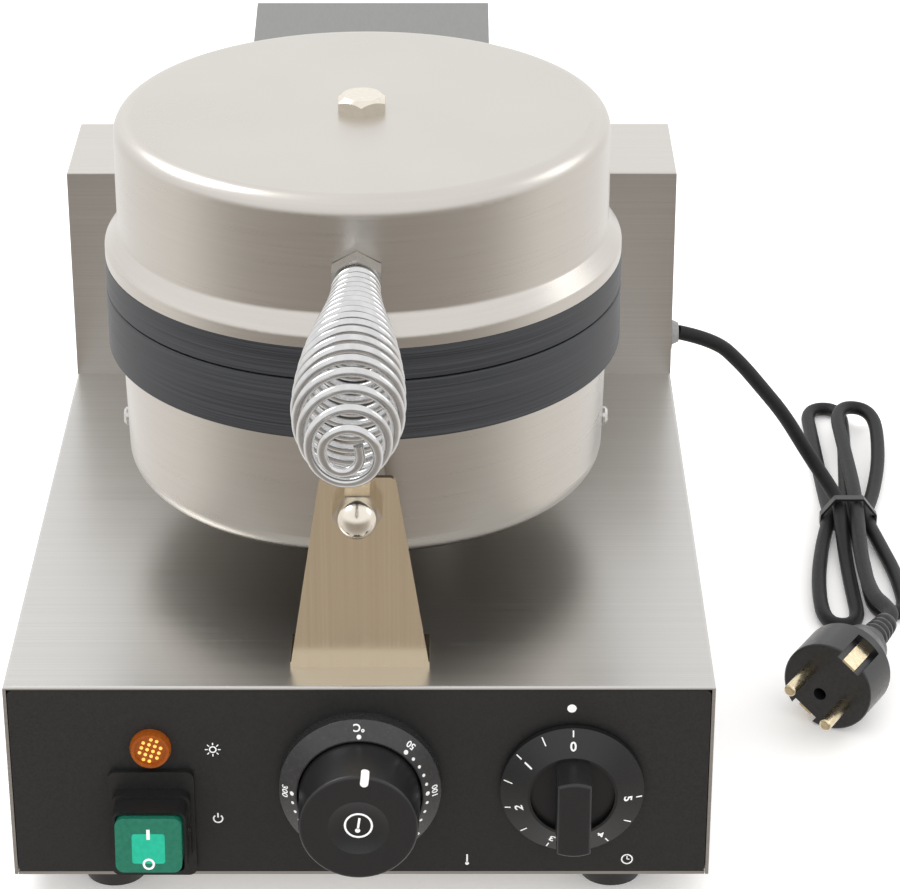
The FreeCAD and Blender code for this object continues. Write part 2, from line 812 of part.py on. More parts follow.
def make_column():
    """Rear column, its vented cover and the terminal block below."""
    block = box(s.base_width, s.column_depth, s.column_height, 0, column_front, deck)
    block = rounded(block, s.fold_radius, level_edges(column_top))
    hollow = box(inside, s.column_depth, s.column_height, 0, column_front + s.sheet_gauge, deck - s.sheet_gauge)
    tab_x = (inside - s.tab_size) / 2
    tab_y = cover_back - 2 * s.sheet_gauge
    tab_z = (deck + s.plate_fit, column_top - s.sheet_gauge - s.tab_size)
    tabs = [box(s.tab_size, s.sheet_gauge, s.tab_size, side * tab_x, tab_y, z)
            for side in (-1, 1) for z in tab_z]
    places = [(side * tab_x, z + s.tab_size / 2) for side in (-1, 1) for z in tab_z]
    drill = s.small_screw_radius + s.hole_play
    behind = cover_back + s.sheet_gauge
    tab_drills = [rod(drill, 4 * s.sheet_gauge, (x, behind, z), FORWARD) for x, z in places]
    wall = s.base_width / 2 - 2 * s.sheet_gauge
    cord_drill = rod(bushing_shank + s.hole_play, 4 * s.sheet_gauge, (wall, cord_y, cord_z), RIGHTWARD)
    under_top = column_top - 2 * s.sheet_gauge
    top_drills = [rod(drill, 4 * s.sheet_gauge, (x, y, under_top)) for x, y in hinge_holes()]
    column = join(cut(block, hollow), *tabs)
    node("hinge_column", cut(column, cord_drill, *tab_drills, *top_drills))

    height = s.column_height - s.sheet_gauge - 2 * s.plate_fit
    width = inside - 2 * s.plate_fit
    cover = box(width, s.sheet_gauge, height, 0, cover_back - s.sheet_gauge, deck + s.plate_fit)
    count = int(s.vent_count.value)
    middle = deck + s.column_height / 2
    vents = []
    for side in (-1, 1):
        for index in range(count):
            z = middle + (index - (count - 1) / 2) * s.vent_pitch
            vents.append(box(s.vent_length, 4 * s.sheet_gauge, s.vent_width, side * s.vent_length * 0.7,
                             cover_back - 2 * s.sheet_gauge, z - s.vent_width / 2))
    cover_drills = [rod(drill, 4 * s.sheet_gauge, (x, behind, z), FORWARD) for x, z in places]
    node("rear_cover", cut(cover, *vents, *cover_drills))
    heads = [screw((x, cover_back, z), 3 * s.sheet_gauge, FORWARD) for x, z in places]
    node("rear_cover_screws", group(*heads))

    width = s.vent_length
    depth = s.nut_across * 1.2
    tall = s.nut_across
    x = -s.base_width / 4
    y = column_front
    floor = s.foot_height + s.sheet_gauge
    block = box(width, depth, tall, x, y, floor)
    wells = [rod(s.screw_radius, tall / 3, (x + place * s.vent_pitch, y + depth / 2, floor + tall * 2 / 3))
             for place in (-2, -1, 0, 1, 2)]
    node("terminal_block", cut(block, *wells))


def hinge_holes():
    """Places of the screws that hold the hinge bracket down."""
    return corners(s.ear_reach / 2, pin_y - s.hinge_plate_depth / 3, pin_y + s.hinge_plate_depth / 3)


def make_hinge():
    """Bracket, pin, bushes and clips on the column."""
    plate_front = pin_y - s.hinge_plate_depth / 2
    plate = box(2 * s.ear_reach, s.hinge_plate_depth, s.hinge_plate_gauge, 0, plate_front, column_top)
    pieces = [plate]
    for side in (-1, 1):
        middle = side * (s.ear_reach - s.ear_gauge / 2)
        pieces.append(box(s.ear_gauge, 2 * s.ear_radius, s.pin_rise, middle, pin_y - s.ear_radius, column_top))
        pieces.append(rod(s.ear_radius, s.ear_gauge, (middle - s.ear_gauge / 2, pin_y, pin_z), RIGHTWARD))
    bore = s.pin_radius + s.pin_play
    eye = rod(bore, 3 * s.ear_reach, (s.ear_reach * -1.5, pin_y, pin_z), RIGHTWARD)
    drill = s.small_screw_radius + s.hole_play
    drills = [rod(drill, 2 * s.hinge_plate_gauge, (x, y, column_top - s.sheet_gauge)) for x, y in hinge_holes()]
    node("hinge_bracket", cut(cut(join(*pieces), eye), *drills))
    top = column_top + s.hinge_plate_gauge
    reach = s.hinge_plate_gauge + 2 * s.sheet_gauge
    node("hinge_bracket_screws", group(*[screw((x, y, top), reach, DOWNWARD) for x, y in hinge_holes()]))
    half = s.arm_width / 2 + s.bush_gap + s.clip_gauge + s.pin_end
    node("hinge_pin", rod(s.pin_radius, 2 * half, (-half, pin_y, pin_z), RIGHTWARD))
    bush_start = s.ear_reach + s.bush_gap
    bush_length = flange_inner - s.bush_gap - bush_start
    clip_start = s.arm_width / 2 + s.bush_gap
    bushes = []
    clips = []
    for x in (bush_start, -(bush_start + bush_length)):
        bushes.append(tube(s.bush_radius, bore, bush_length, (x, pin_y, pin_z), RIGHTWARD))
    for x in (clip_start, -(clip_start + s.clip_gauge)):
        clips.append(tube(s.clip_radius, bore, s.clip_gauge, (x, pin_y, pin_z), RIGHTWARD))
    node("hinge_bushes", group(*bushes))
    node("hinge_clips", group(*clips))


def arm_height(y):
    """Height of the arm's top face above a line across the depth."""
    return arm_rear_top - (arm_rear - y) * ((arm_rear_top - arm_front_top) / (arm_rear - arm_front))


def arm_screw_angles():
    """Angles of the arm's screws about the head, from straight behind it."""
    step = s.saddle_angle.value / 5
    return [step * place for place in (-1.7, -0.6, 0.6, 1.7)]


def make_arm():
    """Hinge arm: a sloping channel with a curved saddle on the lid's shell."""
    top = [(head, arm_height(head)), (arm_rear, arm_rear_top), (arm_rear, arm_rear_top - s.arm_gauge),
           (head, arm_height(head) - s.arm_gauge)]
    pieces = [pressed("YZ_Plane", top, s.arm_width)]
    start = head + s.arm_flange_start
    heel = pin_y + s.arm_heel
    side_shape = [(start, upper_rim + s.arm_flange_rise), (pin_y, pin_z - s.arm_boss_radius), (heel, pin_z),
                  (heel, arm_height(heel) - s.arm_gauge / 2), (start, arm_height(start) - s.arm_gauge / 2)]
    for side in (-1, 1):
        middle = side * (s.arm_width - s.arm_gauge) / 2
        pieces.append(pressed("YZ_Plane", side_shape, s.arm_gauge, (middle, 0, 0)))
        pieces.append(rod(s.arm_boss_radius, s.arm_gauge, (middle - s.arm_gauge / 2, pin_y, pin_z), RIGHTWARD))
    saddle = rod(saddle_radius + s.arm_gauge, s.saddle_height, (0, 0, 0))
    bind(saddle, Angle=s.saddle_angle)
    centred = FreeCAD.Rotation(FreeCAD.Vector(0, 0, 1), 90 - s.saddle_angle.value / 2)
    put(saddle, (0, head, upper_rim + s.saddle_bottom), centred)
    trim = rod(saddle_radius, 2 * s.upper_shell_height, (0, head, upper_rim - s.rim_height))
    arm = cut(join(*pieces, saddle), trim)
    eye = rod(s.pin_radius + s.pin_play, 2 * s.arm_width, (-s.arm_width, pin_y, pin_z), RIGHTWARD)
    level = upper_rim + s.arm_screw_rise
    node("lid_arm", cut(cut(arm, eye), *radial_drills(s.screw_radius, arm_screw_angles(), level)))
    under = (0, saddle_radius + s.arm_gauge, level)
    reach = s.arm_gauge + s.saddle_gap + 4 * s.shell_gauge
    one = screw(under, reach, FORWARD, s.screw_radius, s.screw_head_radius, s.screw_head_height)
    node("lid_arm_screws", group(*[about_head(one, -angle) for angle in arm_screw_angles()]))


def radial_drills(radius, angles, level):
    """Drills towards the head's axis, by their angles from straight behind it."""
    drill = rod(radius + s.hole_play, s.spigot_radius / 2, (0, s.shell_radius * 1.2, level), FORWARD)
    return [about_head(drill, -angle) for angle in angles]


def axis_drill(radius, low, high):
    """A drill along the head's axis."""
    return rod(radius + s.hole_play, high - low, (0, head, low))


def grooved(plate, floor, direction):
    """A baking plate with the crossing grooves of its face, cut the way that direction says."""
    count = int(s.groove_count.value)
    reach = s.baking_radius - s.groove_width
    along_x = []
    along_y = []
    low = floor - s.groove_depth if direction < 0 else floor - s.groove_depth * 0.5
    deep = s.groove_depth * 1.5
    for index in range(count):
        offset = (index - (count - 1) / 2) * s.groove_pitch
        length = 2 * root(reach * reach - offset * offset)
        along_x.append(box(length, s.groove_width, deep, 0, head + offset - s.groove_width / 2, low))
        along_y.append(box(s.groove_width, length, deep, offset, head - length / 2, low))
    return cut(cut(plate, *along_x), *along_y)


def element(label, level, direction):
    """A ring heating element with two terminals that point away from the plate."""
    ring = doc.addObject("Part::Torus", "Ring")
    bind(ring, Radius1=s.element_radius, Radius2=s.element_wire, Angle3=s.element_sweep)
    put(ring, (0, head, level))
    turn = UPRIGHT if direction > 0 else DOWNWARD
    post = rod(s.element_wire * 0.75, s.spigot_height * 3, (s.element_radius, 0, level), turn)
    posts = [about_head(post, 0), about_head(post, s.element_sweep.value)]
    node(label, join(ring, *posts))


def press_plate(label, low):
    """The plate that holds an element against its baking plate."""
    disc = rod(s.press_radius, s.press_thickness, (0, head, low))
    below = low - s.press_thickness
    deep = 3 * s.press_thickness
    hole = rod(s.element_wire, deep, (s.element_radius, 0, below))
    drills = [about_head(hole, 0), about_head(hole, s.element_sweep.value),
              axis_drill(s.stud_radius, below, low + 2 * s.press_thickness),
              rod(s.conduit_radius / 2, deep, (s.conduit_x, conduit_y, below))]
    node(label, cut(disc, *drills))


def make_lower_head():
    """Fixed lower shell with its baking plate, element and fasteners."""
    wall = s.shell_gauge
    foot = s.lower_shell_base_radius
    profile = [(0, lower_base), (foot, lower_base), (s.shell_radius, lower_rim), (shell_inner, lower_rim),
               (foot - wall, lower_base + wall), (0, lower_base + wall)]
    shell = turned(profile, (0, head, 0))
    soften(shell, s.lower_shell_round, circle_at(foot, lower_base))
    soften(shell, s.lower_shell_round - wall, circle_at(foot - wall, lower_base + wall))
    stud_level = deck + s.stud_rise
    side_level = lower_base + s.side_screw_rise
    drills = [axis_drill(s.stud_radius, lower_base - wall, lower_base + 2 * wall),
              rod(s.conduit_radius + s.hole_play, 3 * wall, (s.conduit_x, conduit_y, lower_base - wall))]
    drills += radial_drills(s.stud_radius, (0, 180), stud_level)
    drills += radial_drills(s.small_screw_radius, (90, -90), side_level)
    node("lower_shell", cut(shell, *drills))

    floor = parting - s.baking_depth
    spigot = lower_rim - s.spigot_height
    profile = [(0, spigot), (s.spigot_radius, spigot), (s.spigot_radius, lower_rim),
               (s.plate_radius, lower_rim), (s.plate_radius, parting), (s.baking_radius, parting),
               (s.baking_radius - s.baking_depth, floor), (0, floor)]
    plate = turned(profile, (0, head, 0))
    soften(plate, s.plate_edge_round, circle_at(s.plate_radius, lower_rim))
    soften(plate, s.plate_edge_round, circle_at(s.plate_radius, parting))
    bolt_end = lower_rim + s.spigot_height
    bored = cut(plate, axis_drill(s.stud_radius, spigot - wall, bolt_end + s.hole_play))
    node("lower_plate", grooved(bored, floor, -1))

    element("lower_element", spigot - s.element_play - s.element_wire, -1)
    press_top = spigot - 2 * s.element_play - 2 * s.element_wire
    press_low = press_top - s.press_thickness
    press_plate("lower_press_plate", press_low)
    node("lower_press_nut", nut(s.nut_across, s.nut_height, s.stud_radius, (0, head, press_low - s.nut_height)))
    bolt_head = hexagon(s.nut_across, s.bolt_head_height, (0, head, lower_base - s.bolt_head_height))
    node("lower_center_bolt", join(bolt_head, rod(s.stud_radius, bolt_end - lower_base, (0, head, lower_base))))
    share = s.side_screw_rise / s.lower_shell_height
    side_radius = foot + (s.shell_radius - foot) * share + s.hole_play
    side = screw((0, side_radius, side_level), 6 * wall, FORWARD)
    node("lower_shell_screws", group(about_head(side, 90), about_head(side, -90)))
    length = s.lower_shell_clearance + 2 * s.conduit_overlap
    start = (s.conduit_x, conduit_y, deck - s.conduit_overlap)
    node("lower_wire_conduit", tube(s.conduit_radius, s.conduit_radius - s.conduit_wall, length, start))


def make_brackets():
    """Front and rear brackets with the studs, nuts and sleeves that carry the lower head."""
    foot = s.bracket_foot_width / 2
    top = s.bracket_top_width / 2
    tall = s.bracket_height
    shape = [(-foot, 0), (foot, 0), (top, tall), (-top, tall)]
    upright = pressed("XZ_Plane", shape, s.bracket_gauge, (0, s.bracket_gauge / 2 - s.bracket_reach, deck))
    high = tall.value
    soften(upright, s.bracket_round, lambda edge: depth_edges(edge) and abs(edge.Vertexes[0].Z - high) < EYE)
    sole = box(s.bracket_foot_width, s.bracket_foot_depth, s.bracket_gauge, 0, -s.bracket_reach, deck)
    level = deck + s.stud_rise
    outer = -s.bracket_reach
    eye = rod(s.stud_radius + s.hole_play, 3 * s.bracket_gauge, (0, outer - s.bracket_gauge, level), BACKWARD)
    inward = (s.bracket_foot_depth + s.bracket_gauge) / 2 - s.bracket_reach
    drill = s.small_screw_radius + s.hole_play
    below = deck - s.bracket_gauge
    drills = [rod(drill, 3 * s.bracket_gauge, (side * s.bracket_hole_spacing / 2, inward, below))
              for side in (-1, 1)]
    bracket = cut(join(upright, sole), eye, *drills)
    node("front_bracket", about_head(bracket, 0))
    node("rear_bracket", about_head(bracket, 180))
    reach = s.bracket_gauge + 2 * s.sheet_gauge
    heads = [screw((x, y, deck + s.bracket_gauge), reach, DOWNWARD) for x, y in bracket_holes()]
    node("bracket_screws", group(*heads))

    share = (s.stud_rise - s.lower_shell_clearance) / s.lower_shell_height
    wall_radius = s.lower_shell_base_radius + (s.shell_radius - s.lower_shell_base_radius) * share
    inner_face = s.shell_gauge + s.panel_thickness / 2 - wall_radius
    tip = outer - s.nut_height
    body = hexagon(s.acorn_across, s.nut_height, (0, outer, level), FORWARD)
    neck = rod(s.acorn_dome_radius, s.bracket_gauge, (0, tip, level), FORWARD)
    ball = bind(doc.addObject("Part::Sphere", "Ball"), Radius=s.acorn_dome_radius)
    put(ball, (0, tip - s.bracket_gauge, level))
    socket = rod(s.stud_radius + s.hole_play, s.nut_height, (0, outer, level), FORWARD)
    acorn = cut(join(body, neck, ball), socket)
    stud_start = tip + s.hole_play
    stud = rod(s.stud_radius, inner_face + 1.5 * s.nut_height - stud_start, (0, stud_start, level), BACKWARD)
    sleeve_start = outer + s.bracket_gauge
    sleeve = tube(s.sleeve_radius, s.stud_radius + s.hole_play, -wall_radius - s.saddle_gap - sleeve_start,
                  (0, sleeve_start, level), BACKWARD)
    inner_nut = nut(s.nut_across, s.nut_height, s.stud_radius, (0, inner_face, level), BACKWARD)
    plain_nut = nut(s.nut_across, s.nut_height, s.stud_radius, (0, outer, level), FORWARD)
    studs = [about_head(group(stud, inner_nut), 0), about_head(group(stud, inner_nut, plain_nut), 180)]
    node("acorn_nut", about_head(acorn, 0))
    node("bracket_studs", group(*studs))
    node("spacer_sleeves", group(about_head(sleeve, 0), about_head(sleeve, 180)))


def make_lid():
    """Upper shell with its baking plate, element, bolt and handle stud."""
    wall = s.shell_gauge
    flare_low = upper_rim + s.rim_height
    flare_top = flare_low + s.flare_height
    rim_inner = s.rim_radius - wall
    profile = [(0, lid_top), (s.shell_radius, lid_top), (s.shell_radius, flare_top), (s.rim_radius, flare_low),
               (s.rim_radius, upper_rim), (rim_inner, upper_rim), (rim_inner, flare_low - wall / 2),
               (shell_inner, flare_top - wall / 2), (shell_inner, lid_top - wall), (0, lid_top - wall)]
    shell = turned(profile, (0, head, 0))
    soften(shell, s.upper_shell_round, circle_at(s.shell_radius, lid_top))
    soften(shell, s.upper_shell_round - wall, circle_at(shell_inner, lid_top - wall))
    soften(shell, s.flare_round, circle_at(s.shell_radius, flare_top))
    soften(shell, s.flare_round, circle_at(s.rim_radius, flare_low))
    drills = [axis_drill(s.stud_radius, lid_top - 2 * wall, lid_top + wall)]
    drills += radial_drills(s.stud_radius, (180,), handle_z)
    drills += radial_drills(s.screw_radius, arm_screw_angles(), upper_rim + s.arm_screw_rise)
    node("upper_shell", cut(shell, *drills))

    floor = lid_face + s.baking_depth
    spigot = upper_rim + s.spigot_height
    profile = [(0, spigot), (s.spigot_radius, spigot), (s.spigot_radius, upper_rim),
               (s.plate_radius, upper_rim), (s.plate_radius, lid_face), (s.baking_radius, lid_face),
               (s.baking_radius - s.baking_depth, floor), (0, floor)]
    plate = turned(profile, (0, head, 0))
    soften(plate, s.plate_edge_round, circle_at(s.plate_radius, upper_rim))
    soften(plate, s.plate_edge_round, circle_at(s.plate_radius, lid_face))
    bolt_end = upper_rim - s.baking_depth
    bored = cut(plate, axis_drill(s.stud_radius, bolt_end - s.hole_play, spigot + wall))
    node("upper_plate", grooved(bored, floor, 1))

    element("upper_element", spigot + s.element_play + s.element_wire, 1)
    press_low = spigot + 2 * s.element_play + 2 * s.element_wire
    press_plate("upper_press_plate", press_low)
    nut_low = press_low + s.press_thickness
    node("upper_press_nut", nut(s.nut_across, s.nut_height, s.stud_radius, (0, head, nut_low)))
    corner_first = FreeCAD.Rotation(FreeCAD.Vector(0, 0, 1), 30)
    flat_radius = s.nut_across / 2
    dome = [(0, 0), (flat_radius * 1.2, 0), (flat_radius * 1.2, s.bolt_head_height * 0.55),
            (flat_radius * 0.84, s.bolt_head_height), (0, s.bolt_head_height)]
    hexagonal = hexagon(s.nut_across, s.bolt_head_height, (0, head, lid_top), corner_first)
    bolt_head = overlap(hexagonal, turned(dome, (0, head, lid_top)))
    node("upper_center_bolt", join(bolt_head, rod(s.stud_radius, lid_top - bolt_end, (0, head, bolt_end))))

    stud_start = nut_face - s.stud_grip
    inner_face = head - shell_inner + s.panel_thickness / 2
    stud_end = inner_face + s.nut_height + s.bracket_gauge
    shank = rod(s.stud_radius, stud_end - stud_start, (0, stud_start, handle_z), BACKWARD)
    grip_radius = (s.coil_neck - s.coil_wire) / 2 - s.coil_wire / 2 - s.pin_play
    grip = rod(grip_radius, s.stud_grip, (0, stud_start, handle_z), BACKWARD)
    node("handle_stud", join(shank, grip))
    corner_up = BACKWARD * corner_first
    outer_nut = nut(s.nut_across, s.nut_height, s.stud_radius, (0, nut_face, handle_z), corner_up)
    inner_nut = nut(s.nut_across, s.nut_height, s.stud_radius, (0, inner_face, handle_z), corner_up)
    node("handle_nuts", group(outer_nut, inner_nut))


def vector(*place):
    """A point from terms or plain numbers."""
    return FreeCAD.Vector(*[term(item).value for item in place])


def unit(direction):
    """A direction with a length of one."""
    return direction * (1 / direction.Length)


def line(start, end):
    """A straight edge."""
    return Part.LineSegment(start, end).toShape()


def arc(start, corner, end):
    """The arc that leaves start towards a corner and reaches end from it."""
    middle = (start + end) * 0.5
    weight = (end - start).Length / (2 * (corner - start).Length)
    crest = (middle + corner * weight) * (1 / (1 + weight))
    if (crest - middle).Length < 1e-4:
        return line(start, end)
    return Part.Arc(start, crest, end).toShape()


def biarc(start, heading, end, arrival):
    """Two arcs that leave one point and reach another along given directions."""
    chord = end - start
    along = chord.dot(heading + arrival)
    spread = 2 * (1 - heading.dot(arrival))
    if spread < 1e-9:
        reach = chord.dot(chord) / (2 * along)
    else:
        reach = (math.sqrt(along ** 2 + spread * chord.dot(chord)) - along) / spread
    first = start + heading * reach
    second = end - arrival * reach
    joint = (first + second) * 0.5
    return [arc(start, first, joint), arc(joint, second, end)]


def route(label, points):
    """Straight runs with a tangent arc at each corner."""
    edges = []
    radii = []
    here = points[0]
    for before, corner, after in zip(points, points[1:], points[2:]):
        arriving = corner - before
        leaving = after - corner
        reach = 0.45 * min(arriving.Length, leaving.Length)
        radii.append(reach / math.tan(arriving.getAngle(leaving) / 2))
        start = corner - unit(arriving) * reach
        end = corner + unit(leaving) * reach
        edges += [line(here, start), arc(start, corner, end)]
        here = end
    print(label, "bend radii", [round(radius, 1) for radius in radii])
    return edges + [line(here, points[-1])]


def swept(label, edges, radius):
    """One unbroken tube along edges that meet tangent to tangent."""
    path = Part.Wire(edges)
    first = edges[0]
    start = first.valueAt(first.FirstParameter)
    heading = first.tangentAt(first.FirstParameter)
    section = Part.Wire([Part.makeCircle(radius, start, heading)])
    shape = path.makePipeShell([section], True, False)
    share = shape.Volume / (math.pi * radius ** 2 * path.Length)
    print(label, "length", round(path.Length, 1), "volume share", round(share, 4))
    return shape


def self_gap(label, edges, radius):
    """Prints the smallest gap between parts of a tube that lie apart along it."""
    samples = []
    travelled = 0
    for edge in edges:
        count = max(2, math.ceil(edge.Length / radius))
        for step in range(count):
            along = edge.Length * step / count
            samples.append((travelled + along, edge.valueAt(edge.getParameterByLength(along))))
        travelled += edge.Length
    samples.append((travelled, edges[-1].valueAt(edges[-1].LastParameter)))
    gaps = []
    for index, (first_place, first) in enumerate(samples):
        for second_place, second in samples[index + 1:]:
            if second_place - first_place > 6 * radius:
                gaps.append((first.distanceToPoint(second) - 2 * radius, first_place, second_place))
    gap, first_place, second_place = min(gaps)
    print(label, "gap to itself", round(gap, 2), "between", round(first_place), "and", round(second_place))


def shaped(label, shape):
    """A sub-part whose shape comes from a path."""
    item = doc.addObject("Part::Feature", "Swept")
    item.Shape = shape
    item.Placement = FreeCAD.Placement()
    return node(label, item)


def coil_place(turns):
    """The wire's centre after a number of turns from the nut."""
    wire = s.coil_wire.value
    full = s.coil_turns.value
    neck = (s.coil_neck.value - wire) / 2
    belly = (s.coil_belly.value - wire) / 2
    mouth = (s.coil_mouth.value - wire) / 2
    hook = (s.coil_hook.value - wire) / 2
    first = nut_face.value - wire / 2 - s.coil_clearance.value
    last = front.value - s.handle_reach.value + wire / 2
    length = first - last
    tight = s.coil_first_pitch.value
    loose = 2 * length / full - tight
    wound = min(max(turns, 0), full)
    share = wound / full
    peak = s.coil_belly_place.value
    if share <= peak:
        radius = neck + (belly - neck) * (1 - math.cos(math.pi * share / peak)) / 2
    else:
        radius = mouth + (belly - mouth) * math.cos((share - peak) / (1 - peak) * math.pi / 2)
    if turns > full:
        radius = mouth + (hook - mouth) * (turns - full) / s.coil_hook_turns.value
    advance = tight * wound + (loose - tight) * wound ** 2 / (2 * full)
    angle = 2 * math.pi * turns
    return FreeCAD.Vector(radius * math.cos(angle), first - advance, handle_z.value + radius * math.sin(angle))


def make_coil():
    """Chrome coil handle, wound in one length from the nut to its hooked end."""
    radius = s.coil_wire.value / 2
    steps = int(4 * (s.coil_turns.value + s.coil_hook_turns.value))
    nudge = 0.02
    places = [coil_place(step / 4) for step in range(steps + 1)]
    headings = []
    for step in range(steps + 1):
        low = max(step / 4 - nudge, 0)
        high = min(step / 4 + nudge, steps / 4)
        headings.append(unit(coil_place(high) - coil_place(low)))
    edges = [line(places[0] - headings[0] * (2 * radius), places[0])]
    for step in range(steps):
        edges += biarc(places[step], headings[step], places[step + 1], headings[step + 1])
    edges.append(line(places[-1], places[-1] + headings[-1] * (2 * radius)))
    self_gap("handle_coil", edges, radius)
    shaped("handle_coil", swept("handle_coil", edges, radius))


def make_sensor():
    """Thermostat bulb under the lower plate, with its capillary."""
    level = lower_rim - s.spigot_height - s.element_play - s.bulb_radius
    back = front + s.panel_thickness + s.thermostat_body_length
    low = deck - s.thermostat_drop
    side = s.conduit_x / 2
    bend = s.conduit_radius * 2
    points = [vector(side, back, low), vector(side, back + 4 * bend, low), vector(s.conduit_x, conduit_y, low),
              vector(s.conduit_x, conduit_y, level), vector(s.conduit_x, conduit_y - bend, level)]
    pipe = swept("thermostat_bulb", route("thermostat_bulb", points), s.capillary_radius.value)
    bulb = Part.makeCylinder(s.bulb_radius.value, s.bulb_length.value, points[-1], FreeCAD.Vector(0, -1, 0))
    shaped("thermostat_bulb", pipe.fuse(bulb).removeSplitter())


# Mains lead: offsets from the bushing's end, then from the hank's waist on the table
LEAD_DROP = [(16, 2.4, -4.6), (28, 6.5, -17.5), (38.5, 11, -32), (49, 15.5, -44.8)]
LEAD_LANDING = [(-16, 15.5, 40), (-9.6, 15.7, 27.8), (-5.4, 10.3, 17.8), (-3.6, 0.7, 10.8), (-4.3, -13, 8.0)]
# Hank: place along the table in millimetres, then across and up in strand spacings
HANK = [
    (-40, -0.68, 0), (-87, -0.78, 0), (-94, -1.79, 0), (-87, -2.81, 0), (-24, -1.95, 0.04),
    (0, -1.07, 0.217), (24, -1.12, 0.04), (105, -1.01, 0), (113, 0.145, 0), (105, 1.3, 0), (24, 0.29, 0.04),
    (0, 0, 0.217), (-24, 0.5, 0.04), (-77, 0.7, 0), (-84, 1.71, 0), (-77, 2.73, 0), (-24, 1.8, 0.04),
    (0, 1.07, 0.217), (24, 2.1, 0.04), (60, 3.04, 0.3), (90, 3.33, 0.75), (99, 2.03, 1.0), (90, 0.725, 1.04),
    (55, 0.652, 1.05), (24, 0.652, 1.1), (0, 0.53, 1.14), (-24, 0.29, 1.13), (-55, 0, 1.05), (-85, 0.07, 1.28),
]

strand_pitch = 2 * s.cord_radius + s.cord_gap
plug_way = math.radians(s.plug_turn.value)
plug_heading = FreeCAD.Vector(-math.sin(plug_way), -math.cos(plug_way), 0)


def waist(place):
    """A point given from the hank's waist."""
    return vector(hank_x, hank_y, 0) + FreeCAD.Vector(*place)


def make_cord():
    """Free cord from the wall bushing to the hank, then the hank and its tail to the plug."""
    radius = s.cord_radius.value
    spacing = strand_pitch.value
    start = vector(bushing_end, cord_y, cord_z)
    lead = [start] + [start + FreeCAD.Vector(*place) for place in LEAD_DROP]
    lead += [waist(place) for place in LEAD_LANDING]
    shaped("power_cord", swept("power_cord", route("power_cord", lead), radius))

    landing = unit(lead[-1] - lead[-2])
    low = radius + s.cord_rise.value
    tail = s.plug_length.value / 2 + s.sleeve_length.value
    end = vector(plug_x, plug_y, s.plug_radius) - plug_heading * tail
    places = [lead[-1] + landing * (2 * radius)]
    places += [waist((across * spacing, along, low + up * spacing)) for along, across, up in HANK]
    places.append(end - plug_heading * (2 * radius))
    headings = [landing]
    for before, after in zip(places, places[2:]):
        headings.append(unit(after - before))
    headings.append(plug_heading)
    edges = [line(lead[-1], places[0])]
    for index in range(len(places) - 1):
        edges += biarc(places[index], headings[index], places[index + 1], headings[index + 1])
    edges.append(line(places[-1], end))
    self_gap("cord_hank", edges, radius)
    shaped("cord_hank", swept("cord_hank", edges, radius))


def make_tie():
    """Flat tie round the strands at the hank's waist."""
    gap = s.tie_gauge * 0.35
    level = s.cord_radius + s.hank_lift
    bottom = level - s.cord_radius - gap
    top = level + strand_pitch * 0.95 + s.cord_radius + gap
    half = strand_pitch * 1.1 + s.cord_radius + 2 * gap + s.shaft_play
    wide = half - s.cord_radius * 0.7
    narrow = strand_pitch / 2 + s.cord_radius * 0.75

    def ring(grow):
        low_corner = level - s.cord_radius * 0.5 - grow * 0.5
        high_corner = level + s.cord_radius * 0.85 + grow * 0.3
        right = [(wide + grow * 0.4, bottom - grow), (half + grow, low_corner), (half + grow, high_corner),
                 (narrow + grow * 0.5, top + grow)]
        return right + [(-x, z) for x, z in reversed(right)]

    place = (hank_x, hank_y - strand_pitch / 2, 0)
    band = pressed("XZ_Plane", ring(s.tie_gauge), s.tie_width, place)
    hole = pressed("XZ_Plane", ring(term(0)), 2 * s.tie_width, place)
    node("cord_tie", cut(band, hole))


